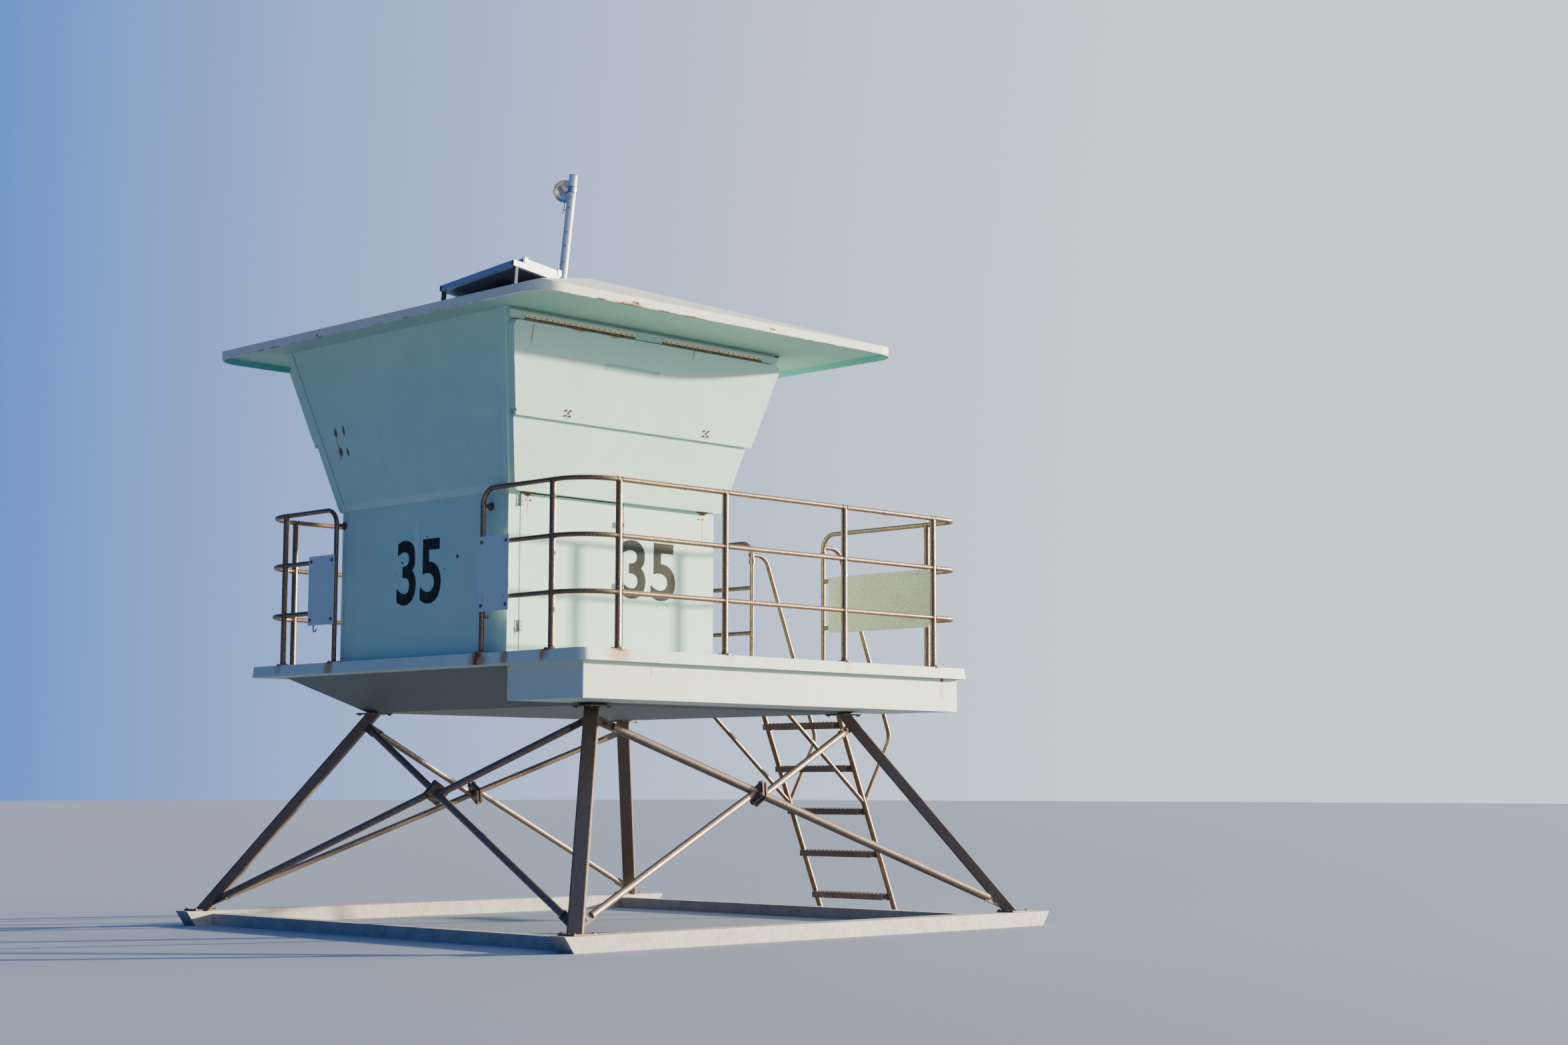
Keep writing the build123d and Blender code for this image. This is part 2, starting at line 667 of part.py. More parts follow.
roof_bottom_z = eave_z - fascia_height
with BuildPart() as roof_core:
    hipped_block(fascia_thickness, roof_corner - fascia_thickness, roof_bottom_z - 10, roof_skin)
with BuildPart() as roof:
    hipped_block(0, roof_corner, roof_bottom_z, 0)
    add(roof_core.part, mode=Mode.SUBTRACT)
roof.part.label = "roof_shell"
export_step(roof.part, "parts/roof_shell.step")

soffit_inset = fascia_thickness + fit_gap
soffit_top_z = ceiling_z + soffit_drop + soffit_thickness
top_plan = flared((cabin_left, cabin_right, cabin_back, cabin_front), ceiling_z, (-1, 1, -1, 1))
with BuildPart() as soffit:
    with BuildSketch(level(soffit_top_z - soffit_thickness)):
        with Locations((roof_x, roof_y)):
            soffit_width, soffit_length = roof_width - 2 * soffit_inset, roof_length - 2 * soffit_inset
            RectangleRounded(soffit_width, soffit_length, roof_corner - soffit_inset)
    extrude(amount=soffit_thickness)
    soffit_low = (-soffit_width / 2 + roof_x + 80, soffit_width / 2 + roof_x - 80)
    soffit_low += (-soffit_length / 2 + roof_y + 80, soffit_length / 2 + roof_y - 80)
    tapered_block(ceiling_z, soffit_top_z - soffit_thickness, top_plan, soffit_low)
soffit.part.label = "soffit"
export_step(soffit.part, "parts/soffit.step")

# Solar panel on two rails that lie up to the roof's back slope

panel_plane = Plane(spot(*panel_at)).rotated((-panel_tilt, -panel_roll, 0))
panel_width, panel_length, panel_thickness = panel_size
with BuildPart() as roof_cut:
    hipped_block(-fit_gap, roof_corner, roof_bottom_z, -fit_gap)
with BuildPart() as panel_rails:
    with BuildSketch(panel_plane):
        with GridLocations(panel_width - panel_rail[0], 0, 2, 1):
            Rectangle(panel_rail[0], panel_rail_length, align=(Align.CENTER, Align.MIN))
        with Locations((0, panel_rail[0] / 2)):
            Rectangle(panel_width - 20, panel_rail[0])
    extrude(amount=-panel_rail[1])
    with BuildSketch(panel_plane):
        with Locations((0, panel_rail[0])):
            with GridLocations(panel_width - panel_rail[0], 0, 2, 1):
                Rectangle(panel_foot, panel_foot)
    extrude(amount=-panel_foot_reach)
    add(roof_cut.part, mode=Mode.SUBTRACT)
panel_rails.part.label = "solar_panel_rails"
export_step(panel_rails.part, "parts/solar_panel_rails.step")

with BuildPart() as solar_panel:
    with BuildSketch(panel_plane.offset(fit_gap)):
        with Locations((0, panel_set_back + panel_length / 2 - 20)):
            Rectangle(panel_width, panel_length)
    extrude(amount=panel_thickness)
    with BuildSketch(panel_plane.offset(fit_gap + panel_thickness)):
        with Locations((0, panel_set_back + panel_length / 2 - 20)):
            Rectangle(panel_width - 24, panel_length - 24)
    extrude(amount=-4, mode=Mode.SUBTRACT)
    add(roof_cut.part, mode=Mode.SUBTRACT)
solar_panel.part.label = "solar_panel"
export_step(solar_panel.part, "parts/solar_panel.step")

# Mast, dish and the short lead between them

lean = radians(mast_lean)
lean_way = Vector(0.66 * sin(lean), 0.75 * sin(lean), cos(lean)).normalized()
mast_foot = spot(mast_x, ridge_y, ridge_z - 60)
mast_plane = Plane(mast_foot, x_dir=lean_way.cross(Vector(0, 1, 0)), z_dir=lean_way)
with BuildPart() as mast:
    with BuildSketch(mast_plane):
        Circle(mast_diameter / 2)
    extrude(amount=mast_length + 60)
    with BuildSketch(Plane(spot(mast_x, ridge_y, ridge_z - 40))):
        Circle(75)
    extrude(amount=52)
    add(roof_cut.part, mode=Mode.SUBTRACT)
    with BuildSketch(mast_plane.offset(150)):
        Circle(mast_diameter / 2 - mast_wall)
    extrude(amount=mast_length, mode=Mode.SUBTRACT)
mast.part.label = "mast"
export_step(mast.part, "parts/mast.step")

dish_out = Vector(0.75, -0.66, 0).normalized()
dish_side = dish_out.cross(Vector(0, 0, 1)).normalized()
dish_arm_at = mast_foot + lean_way * (mast_length + 60 - dish_drop)
dish_centre = dish_arm_at + dish_side * dish_offset - dish_out * (mast_diameter / 2 + 12)
dish_bottom = dish_centre - dish_out * dish_depth
with BuildPart() as dish:
    with BuildSketch(Plane(dish_centre, x_dir=dish_side, z_dir=dish_side.cross(dish_out))):
        with BuildLine():
            rim = dish_diameter / 2
            ThreePointArc((0, -dish_depth), (rim * 0.6, -dish_depth * 0.64), (rim, 0))
            Line((rim, 0), (rim - dish_skin, 0))
            inner_rim = rim - dish_skin
            ThreePointArc((inner_rim, 0), (inner_rim * 0.6, -dish_depth * 0.6), (0, dish_skin - dish_depth))
            Line((0, dish_skin - dish_depth), (0, -dish_depth))
        make_face()
    revolve(axis=Axis(dish_centre, dish_out))
    pipe(dish_bottom + dish_out * dish_skin / 2, dish_arm_at, 16)
    clamp_reach = lean_way * 20
    pipe(dish_arm_at - clamp_reach, dish_arm_at + clamp_reach, mast_diameter + 8)
    clamp_bore = mast_diameter + 2 * fit_gap
    pipe(dish_arm_at - clamp_reach * 1.5, dish_arm_at + clamp_reach * 1.5, clamp_bore, Mode.SUBTRACT)
dish.part.label = "dish"
export_step(dish.part, "parts/dish.step")

# Railings: each flat stretch is one welded panel, with the corner bends on the side panels


def post(x, y):
    """An upright with its foot flange, added to the part being built."""
    with BuildSketch(level(deck_top + fit_gap)) as flange:
        with Locations((x, y)):
            Circle(post_foot_diameter / 2)
    extrude(flange.sketch, amount=post_foot_thickness)
    pipe(spot(x, y, deck_top + fit_gap), spot(x, y, rail_tops[-1] - rail_diameter / 4), post_diameter)


back_reach, front_reach = back_bend + rail_stub, front_bend + rail_stub
for name, side in (("left", -1), ("right", 1)):
    with BuildPart() as side_railing:
        route = [
            (side * (rail_line - back_reach), -rail_line),
            (side * rail_line, -rail_line),
            (side * rail_line, rail_line),
            (side * (rail_line - front_reach), rail_line),
        ]
        for z in rail_tops:
            bent_pipe(route, rail_diameter, (back_bend, front_bend), level(z))
        for y in side_posts:
            post(side * rail_line, y)
    side_railing.part.label = f"railing_{name}"
    export_step(side_railing.part, f"parts/railing_{name}.step")

end_railings = {
    "back": (-1, back_end_left, back_end_right, back_reach),
    "front": (1, gap_left, gap_right, front_reach),
}
for name, (side_y, end_left, end_right, reach) in end_railings.items():
    y = side_y * rail_line
    with BuildPart() as end_railing:
        for side_x, end_x in ((-1, end_left), (1, end_right)):
            start_x = side_x * (rail_line - reach - fit_gap)
            drop = [(start_x, rail_tops[-1]), (end_x, rail_tops[-1]), (end_x, deck_top + fit_gap)]
            bent_pipe(drop, rail_diameter, drop_bend, back_view(y))
            for z in rail_tops[:-1]:
                pipe(spot(start_x, y, z), spot(end_x, y, z), rail_diameter)
            post(side_x * (rail_line - max(reach, corner_post_set_back) - post_diameter / 2), y)
            with BuildSketch(level(deck_top + fit_gap)):
                with Locations((end_x, y)):
                    Circle(post_foot_diameter / 2)
            extrude(amount=post_foot_thickness)
            if side_y < 0:
                stub_z = rail_tops[-1] - wall_stub_drop
                wall_face = spot(end_x, cabin_back - fit_gap, stub_z)
                pipe(spot(end_x, y, stub_z), wall_face, wall_stub_diameter)
                pipe(wall_face - Vector(0, 8, 0), wall_face, wall_flange_diameter)
    end_railing.part.label = f"railing_{name}"
    export_step(end_railing.part, f"parts/railing_{name}.step")

# Sheet hung inside the front railing, and two notice boards on the back one

sheet_mid = (rail_tops[0] + rail_tops[1]) / 2 - 8
with BuildPart() as sheet:
    with BuildSketch(back_view(rail_line - post_diameter / 2 - fit_gap)):
        with Locations((gap_right + sheet_from_gap + sheet_size[0] / 2, sheet_mid)):
            RectangleRounded(sheet_size[0], sheet_size[1], sheet_corner)
    extrude(amount=sheet_size[2])
sheet.part.label = "railing_sheet"
export_step(sheet.part, "parts/railing_sheet.step")

with BuildPart() as boards:
    with BuildSketch(back_view(-rail_line - rail_diameter / 2 - fit_gap)):
        with Locations((board_left_x, board_z), (board_right_x, board_z)):
            Rectangle(board_size[0], board_size[1])
    extrude(amount=board_size[2])
boards.part.label = "notice_boards"
export_step(boards.part, "parts/notice_boards.step")

# Ladder: two stringers, channel treads, hand rails and stays back to the hull

ladder_top_y = half + ladder_bracket + stringer_diameter / 2
ladder_top_z = deck_top - 25


def ladder_y(z):
    """How far out the stringers' middle line is at a height."""
    return ladder_top_y + (ladder_top_z - z) * ladder_slope


with BuildPart() as stringers:
    with BuildSketch(back_view(half + ladder_bracket + 8)):
        with Locations((-ladder_half, ladder_top_z - 12), (ladder_half, ladder_top_z - 12)):
            RectangleRounded(96, 58, 8)
    extrude(amount=ladder_bracket + 8 - fit_gap)
    for side in (-1, 1):
        pipe(
            spot(side * ladder_half, ladder_y(-60), -60),
            spot(side * ladder_half, ladder_top_y, ladder_top_z),
            stringer_diameter,
        )
    with BuildSketch(level(0)):
        Rectangle(4 * half, 4 * half)
    extrude(amount=2 * deck_top, mode=Mode.INTERSECT)
stringers.part.label = "ladder_stringers"
export_step(stringers.part, "parts/ladder_stringers.step")

tread_length = 2 * ladder_half - stringer_diameter - 2 * fit_gap
with BuildPart() as treads:
    for z in tread_levels:
        with BuildSketch(side_view(-tread_length / 2)):
            with Locations((ladder_y(z), z - tread_height / 2)):
                Rectangle(tread_depth, tread_height)
            with Locations((ladder_y(z), z - tread_skin - tread_height / 2)):
                Rectangle(tread_depth - 2 * tread_skin, tread_height, mode=Mode.SUBTRACT)
        extrude(amount=tread_length)
treads.part.label = "ladder_treads"
export_step(treads.part, "parts/ladder_treads.step")

with BuildPart() as hand_rails:
    for side, gap_edge in ((-1, gap_left), (1, gap_right)):
        x = side * ladder_half
        start_z = deck_top + hand_start_rise
        hand_route = [
            (rail_line + 30, start_z),
            (rail_line + hand_reach, start_z),
            (ladder_y(hand_join_z) + hand_belly, hand_belly_z),
            (ladder_y(hand_join_z), hand_join_z),
        ]
        bent_pipe(hand_route, hand_diameter, hand_bend, side_view(x))
        ring_z = start_z - 60
        pipe(spot(x, rail_line + 30, start_z), spot(gap_edge, rail_line, ring_z), 24)
        ring_low, ring_high = (spot(gap_edge, rail_line, ring_z + rise) for rise in (-20, 20))
        pipe(ring_low, ring_high, rail_diameter + 14)
        pipe(
            spot(gap_edge, rail_line, ring_z - 60),
            spot(gap_edge, rail_line, ring_z + 30),
            rail_diameter + 2 * fit_gap,
            Mode.SUBTRACT,
        )
    add(end_railing.part, mode=Mode.SUBTRACT)
    add(stringers.part, mode=Mode.SUBTRACT)
hand_rails.part.label = "ladder_hand_rails"
export_step(hand_rails.part, "parts/ladder_hand_rails.step")

with BuildPart() as stays:
    stay_y = hull_bottom + (stay_z - hull_bottom_z) * hull_slope
    for side in (-1, 1):
        x = side * ladder_half
        pipe(spot(x, stay_y - 20, stay_z), spot(x, ladder_y(hand_join_z), hand_join_z), stay_diameter)
    add(hull_form.part, mode=Mode.SUBTRACT)
    add(stringers.part, mode=Mode.SUBTRACT)
stays.part.label = "ladder_stays"
export_step(stays.part, "parts/ladder_stays.step")
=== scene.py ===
import math
from itertools import product

import bmesh
import bpy
from mathutils import Matrix, Vector


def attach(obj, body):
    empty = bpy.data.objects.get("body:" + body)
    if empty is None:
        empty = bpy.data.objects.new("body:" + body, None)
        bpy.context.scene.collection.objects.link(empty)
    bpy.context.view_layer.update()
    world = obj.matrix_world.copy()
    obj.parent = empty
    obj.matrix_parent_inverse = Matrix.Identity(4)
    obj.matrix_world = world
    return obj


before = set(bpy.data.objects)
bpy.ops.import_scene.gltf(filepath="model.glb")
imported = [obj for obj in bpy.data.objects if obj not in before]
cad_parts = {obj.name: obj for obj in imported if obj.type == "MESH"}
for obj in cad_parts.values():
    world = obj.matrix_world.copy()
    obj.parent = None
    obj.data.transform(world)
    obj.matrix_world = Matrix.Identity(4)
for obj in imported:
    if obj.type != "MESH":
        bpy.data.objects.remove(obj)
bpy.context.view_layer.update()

# Metres. Plan positions are counted from the deck's middle; at() brings them into the shared frame.
# "Proud" is how far something stands out from the wall that it lies on.

X, Y, Z = Vector((1, 0, 0)), Vector((0, 1, 0)), Vector((0, 0, 1))
MID_Y = -0.174

DECK_TOP = 1.829
DECK_HALF = 1.829
BOX_SIDE = 1.77
RAIL_LINE = 1.779
RAIL_LEVELS = (2.1846, 2.5402, 2.896)
RAIL_RADIUS, POST_RADIUS = 0.0165, 0.021
SIDE_POSTS = (-1.495, -0.568, 0.568, 1.495)
# Along X, and which end of the deck
END_POSTS = (
    (-0.857, -1), (0.775, -1), (-1.474, -1), (1.474, -1), (-0.346, 1), (0.428, 1), (-1.474, 1), (1.474, 1)
)
POST_FEET = [(side * RAIL_LINE, y) for side in (-1, 1) for y in SIDE_POSTS]
POST_FEET += [(x, side * RAIL_LINE) for x, side in END_POSTS]

CABIN_LEFT, CABIN_RIGHT = -0.8805, 0.9485
CABIN_BACK, CABIN_FRONT = -1.710, 0.119
CABIN_MIDDLE_X, CABIN_MIDDLE_Y = (CABIN_LEFT + CABIN_RIGHT) / 2, (CABIN_BACK + CABIN_FRONT) / 2
SILL = 2.88
JOGGLE, FLARE_SLOPE = 0.016, 0.286 / 1.124  # the upper walls step out, then lean out
UPPER_SHUTTER_PROUD, STRIP_PROUD = 0.0629, 0.0346

LEG_TOP_REACH, LEG_FOOT_REACH = 1.188, 2.030
LEG_TOP_Z, LEG_FOOT_Z = 1.5027, 0.1023
EAVE_SIDE = 1.94
SOFFIT_FACE_Z = 4.0172


def at(x, y, z):
    """A point given from the deck's middle."""
    return Vector((x, MID_Y + y, z))


def added(name, data):
    """A new object in the scene."""
    made = bpy.data.objects.new(name, data)
    bpy.context.scene.collection.objects.link(made)
    return made


# Nodes and shader groups


def node(tree, kind, values=None, **settings):
    """A node with its settings, and its inputs filled with values or linked from sockets."""
    made = tree.nodes.new(kind)
    for key, value in settings.items():
        setattr(made, key, value)
    for key, value in (values or {}).items():
        if isinstance(value, bpy.types.NodeSocket):
            tree.links.new(value, made.inputs[key])
        else:
            made.inputs[key].default_value = value
    return made


def math_node(tree, operation, first, second=0.0, third=0.0, clamp=False):
    """One step of arithmetic; returns its output socket."""
    values = {0: first, 1: second, 2: third}
    return node(tree, "ShaderNodeMath", values, operation=operation, use_clamp=clamp).outputs[0]


def times(tree, first, second, clamp=False):
    """The product of two values."""
    return math_node(tree, "MULTIPLY", first, second, clamp=clamp)


def vector_node(tree, operation, first, second=None):
    """One step of vector arithmetic; returns the node, because its result has two sockets."""
    values = {0: first} if second is None else {0: first, 1: second}
    return node(tree, "ShaderNodeVectorMath", values, operation=operation)


def noise(tree, vector, scale, detail, roughness):
    """Fractal noise round 0.5."""
    values = {"Vector": vector, "Scale": scale, "Detail": detail, "Roughness": roughness}
    return node(tree, "ShaderNodeTexNoise", values).outputs[0]


def ramp(tree, value, stops):
    """Colours blended by a value; each stop is a position and a colour, in order."""
    made = node(tree, "ShaderNodeValToRGB", {0: value})
    elements = made.color_ramp.elements
    first, *between, last = stops
    for element, (position, colour) in ((elements[0], first), (elements[1], last)):
        element.position, element.color = position, (*colour, 1)
    for position, colour in between:
        elements.new(position).color = (*colour, 1)
    return made.outputs[0]


def new_socket(tree, label, kind, way="INPUT"):
    """A socket of a group."""
    return tree.interface.new_socket(label, in_out=way, socket_type="NodeSocket" + kind)


def shader_group(name, result, **inputs):
    """A new shader group with a place and some values in, and one result out; returns its tree and ends."""
    tree = bpy.data.node_groups.new(name, "ShaderNodeTree")
    new_socket(tree, "Place", "Vector")
    for label, value in inputs.items():
        new_socket(tree, label, "Vector" if isinstance(value, tuple) else "Float").default_value = value
    new_socket(tree, result, "Color" if result == "Color" else "Float", "OUTPUT")
    return tree, tree.nodes.new("NodeGroupInput").outputs, tree.nodes.new("NodeGroupOutput").inputs[0]


def make_mottle():
    """Soft uneven patches, from 0 to 1."""
    tree, given, end = shader_group("mottle", "Mask", Scale=2.0, Contrast=1.0, Fineness=6.0)
    cloud = noise(tree, given["Place"], given["Scale"], given["Fineness"], 0.6)
    strong = times(tree, math_node(tree, "SUBTRACT", cloud, 0.5), given["Contrast"])
    tree.links.new(math_node(tree, "ADD", strong, 0.5, clamp=True), end)
    return tree


def make_runs():
    """Thin marks that run down an upright face, from 0 to 1."""
    tree, given, end = shader_group("run_marks", "Mask", Across=22.0, Along=0.9, Share=0.3)
    stretch = node(
        tree, "ShaderNodeCombineXYZ", {0: given["Across"], 1: given["Across"], 2: given["Along"]}
    )
    placed = vector_node(tree, "MULTIPLY", given["Place"], stretch.outputs[0])
    streak = noise(tree, placed.outputs[0], 1.0, 4.0, 0.55)
    low = math_node(tree, "SUBTRACT", 0.72, times(tree, given["Share"], 0.35))
    high = math_node(tree, "ADD", low, 0.18)
    values = {"Value": streak, "From Min": low, "From Max": high}
    mask = node(tree, "ShaderNodeMapRange", values, interpolation_type="SMOOTHSTEP")
    tree.links.new(mask.outputs[0], end)
    return tree


def make_spot():
    """A stain round one place, with a ragged edge, from 0 to 1."""
    tree, given, end = shader_group(
        "stain_spot", "Mask", Centre=(0, 0, 0), Reach=(0.1, 0.1, 0.1), Ragged=0.6
    )
    away = vector_node(tree, "SUBTRACT", given["Place"], given["Centre"]).outputs[0]
    scaled = vector_node(tree, "DIVIDE", away, given["Reach"]).outputs[0]
    length = vector_node(tree, "LENGTH", scaled).outputs["Value"]
    edge = math_node(tree, "SUBTRACT", noise(tree, given["Place"], 38.0, 5.0, 0.65), 0.5)
    wobble = times(tree, times(tree, edge, given["Ragged"]), 2.0)
    values = {"Value": math_node(tree, "ADD", length, wobble), "From Min": 1.0, "From Max": 0.35}
    mask = node(tree, "ShaderNodeMapRange", values, interpolation_type="SMOOTHSTEP")
    tree.links.new(mask.outputs[0], end)
    return tree


def make_rust_colour():
    """The colour of rust, from nearly black to bright orange."""
    tree, given, end = shader_group("rust_colour", "Color", Scale=30.0)
    grain = noise(tree, given["Place"], given["Scale"], 7.0, 0.7)
    stops = [(0.32, (0.030, 0.014, 0.008)), (0.5, (0.16, 0.055, 0.020)), (0.68, (0.42, 0.17, 0.055))]
    tree.links.new(ramp(tree, grain, stops), end)
    return tree


MOTTLE, RUNS, SPOT, RUST_COLOUR = make_mottle(), make_runs(), make_spot(), make_rust_colour()


# Building blocks of materials


def use(tree, group, **values):
    """A group placed in a material with its own values; returns its first output."""
    return node(tree, "ShaderNodeGroup", values, node_tree=group).outputs[0]


def mottle(tree, place, scale, contrast, fineness):
    """Uneven patches of a given size and contrast."""
    return use(tree, MOTTLE, Place=place, Scale=scale, Contrast=contrast, Fineness=fineness)


def spots(tree, place, marks, ragged):
    """One mask for several marks, each a place from the deck's middle and its reach along X, Y and Z."""
    largest, *others = [
        use(tree, SPOT, Place=place, Centre=at(*centre), Reach=reach, Ragged=ragged)
        for centre, reach in marks
    ]
    for mask in others:
        largest = math_node(tree, "MAXIMUM", largest, mask)
    return largest


def mix(tree, share, first, second):
    """Two colours mixed by a mask; returns the result's socket."""
    values = {0: share}
    for index, colour in ((6, first), (7, second)):
        values[index] = (*colour, 1) if isinstance(colour, tuple) else colour
    return node(tree, "ShaderNodeMix", values, data_type="RGBA").outputs[2]


def blank(name):
    """A new material with its tree, its shader's inputs and its object coordinates."""
    material = bpy.data.materials.new(name)
    material.use_nodes = True
    tree = material.node_tree
    place = tree.nodes.new("ShaderNodeTexCoord").outputs["Object"]
    return material, tree, tree.nodes["Principled BSDF"].inputs, place


def coat(tree, surface, colour, rough):
    """Gives the shader its colour and roughness."""
    tree.links.new(colour, surface["Base Color"])
    tree.links.new(rough, surface["Roughness"])


def bump(tree, surface, height, strength, distance):
    """Relief on the shader's normal."""
    relief = node(
        tree, "ShaderNodeBump", {"Height": height, "Strength": strength, "Distance": distance}
    )
    tree.links.new(relief.outputs[0], surface["Normal"])


def edge_rust(tree, place, low, high, share):
    """Rust chips along a level edge: from nothing at one height to a share of chips at another."""
    height = node(tree, "ShaderNodeSeparateXYZ", {0: place}).outputs[2]
    values = {"Value": height, "From Min": high, "From Max": low}
    near = node(tree, "ShaderNodeMapRange", values).outputs[0]
    chips = times(tree, mottle(tree, place, 16.0, 11.0, 9.0), mottle(tree, place, 1.3, 8.0, 3.0))
    return times(tree, near, times(tree, chips, share), clamp=True)


def faces_inward(tree, place, centre):
    """1 on the faces that look back at a centre, such as the inside of a lip."""
    outward = vector_node(tree, "SUBTRACT", place, centre).outputs[0]
    normal = node(tree, "ShaderNodeNewGeometry").outputs["Normal"]
    faced = vector_node(tree, "DOT_PRODUCT", outward, normal).outputs["Value"]
    return math_node(tree, "LESS_THAN", faced, -0.6)


PALE_SCRAPE_AND_HIGHLIGHT, RUN_ORANGE = (0.86, 0.90, 0.86), (0.45, 0.215, 0.05)


def fibreglass(
    name, colour, faded, grime, roughness=0.46, stains=(), runs=(), pale=(), rust_edge=None, inner=None,
    runs_share=0.25,
):
    """Painted fibreglass: faded patches, fine run marks and grime, with rust, runs, pale scrapes and painted
    highlights at places.
    """
    material, tree, surface, place = blank(name)
    patches = mottle(tree, place, 1.1, 1.6, 5.0)
    speckle = mottle(tree, place, 95.0, 1.2, 3.0)
    dirt = mottle(tree, place, 5.0, 3.0, 8.0)
    marks = use(tree, RUNS, Place=place, Across=26.0, Along=0.8, Share=runs_share)
    base = mix(tree, patches, colour, faded)
    for mask, share in ((speckle, 0.10), (marks, 0.13), (dirt, 0.07)):
        base = mix(tree, times(tree, mask, share), base, grime)
    rough = math_node(tree, "ADD", times(tree, patches, 0.16), roughness)
    rust = use(tree, RUST_COLOUR, Place=place, Scale=34.0)
    if pale:
        # Pale marks: scrapes, and painted highlights.
        base = mix(tree, times(tree, spots(tree, place, pale, 0.12), 0.24), base, PALE_SCRAPE_AND_HIGHLIGHT)
    if runs:
        base = mix(tree, times(tree, spots(tree, place, runs, 0.22), 0.80), base, RUN_ORANGE)
    if stains:
        stained = spots(tree, place, stains, 0.7)
        base = mix(tree, stained, base, rust)
        rough = math_node(tree, "MAXIMUM", rough, times(tree, stained, 0.85))
    if rust_edge:
        base = mix(tree, edge_rust(tree, place, *rust_edge), base, rust)
    if inner:
        centre, inner_colour = inner
        base = mix(tree, faces_inward(tree, place, centre), base, inner_colour)
    coat(tree, surface, base, rough)
    peel = times(tree, mottle(tree, place, 140.0, 1.0, 2.0), 0.12)
    wave = mottle(tree, place, 4.5, 1.0, 2.0)
    bump(tree, surface, math_node(tree, "ADD", peel, wave), 0.35, 0.004)
    surface["Coat Weight"].default_value = 0.06
    surface["Coat Roughness"].default_value = 0.40
    surface["Specular IOR Level"].default_value = 0.35
    return material


def weathered_metal(name, colour, dull, rust_share, roughness=0.5, metallic=0.85, stains=()):
    """Bare or painted metal with a dull bloom, rust in patches, and rust-coloured marks at given places."""
    material, tree, surface, place = blank(name)
    bloom = mottle(tree, place, 60.0, 2.2, 4.0)
    patches = mottle(tree, place, 7.0, 2.5, 6.0)
    base = mix(tree, bloom, colour, dull)
    base = mix(tree, times(tree, patches, 0.35), base, dull)
    spread = mottle(tree, place, 9.0, 7.0, 9.0)
    fine = mottle(tree, place, 70.0, 5.0, 6.0)
    mask = times(tree, times(tree, spread, fine), rust_share, clamp=True)
    if stains:
        mask = math_node(tree, "MAXIMUM", mask, spots(tree, place, stains, 0.7))
    base = mix(tree, mask, base, use(tree, RUST_COLOUR, Place=place, Scale=45.0))
    rough = math_node(tree, "ADD", times(tree, bloom, 0.15), roughness)
    coat(tree, surface, base, math_node(tree, "MAXIMUM", rough, times(tree, mask, 0.9)))
    clean = math_node(tree, "SUBTRACT", 1.0, mask, clamp=True)
    tree.links.new(times(tree, clean, metallic), surface["Metallic"])
    pits = math_node(tree, "ADD", times(tree, mask, 0.6), times(tree, fine, 0.3))
    bump(tree, surface, pits, 0.5, 0.0012)
    return material


# Materials. Marks are places from the deck's middle with their reach along X, Y and Z.


LIP_Z = 1.80


def on_lip(rise):
    """The places of the post feet, this far above the lip's upper part."""
    return [(x, y, LIP_Z + rise) for x, y in POST_FEET]


LIP_MARKS = [
    ((0.79, -1.83, 1.812), (0.055, 0.05, 0.030)),
    ((0.775, -1.83, 1.775), (0.035, 0.05, 0.050)),
    ((1.83, -1.51, 1.822), (0.05, 0.060, 0.012)),
]
LIP_RUNS = [
    ((0.80, -1.83, 1.785), (0.13, 0.05, 0.075)),
    ((1.065, -1.83, 1.795), (0.055, 0.05, 0.080)),
    ((1.44, -1.83, 1.800), (0.040, 0.05, 0.070)),
    ((-0.857, -1.83, 1.790), (0.070, 0.05, 0.070)),
    ((1.83, -1.515, 1.800), (0.08, 0.135, 0.085)),
]

MINT, MINT_FADED, MINT_GRIME = (0.44, 0.70, 0.57), (0.54, 0.75, 0.63), (0.17, 0.22, 0.18)

wall_paint = fibreglass(
    "wall_paint", MINT, MINT_FADED, MINT_GRIME,
    stains=[
        ((0.97, -1.556, 2.862), (0.06, 0.05, 0.022)),
        ((0.97, 0.008, 2.866), (0.06, 0.05, 0.022)),
        ((-0.786, -1.85, 3.42), (0.024, 0.4, 0.045)),
        ((-0.69, -1.85, 3.420), (0.017, 0.4, 0.045)),
        ((-0.765, -1.85, 3.286), (0.026, 0.4, 0.040)),
        ((-0.686, -1.85, 3.280), (0.021, 0.4, 0.040)),
        ((0.97, -1.64, 1.97), (0.05, 0.02, 0.05)),
        ((0.97, -1.64, 2.80), (0.05, 0.02, 0.05)),
    ],
    runs=[
        ((0.95, 0.008, 2.74), (0.06, 0.012, 0.16)),
        ((0.95, -1.556, 2.80), (0.06, 0.012, 0.09)),
        ((-0.783, -1.85, 3.30), (0.012, 0.4, 0.13)),
    ],
    pale=[
        # A painted highlight: the pale band along the back wall's seam, where its ledge catches light. The
        # other two are pale marks.
        ((0.03, -1.72, 2.905), (3.4, 0.30, 0.036)),
        ((-0.028, -1.71, 2.60), (0.024, 0.3, 0.20)),
        ((0.96, -1.0, 2.10), (0.02, 0.014, 0.03)),
    ],
)
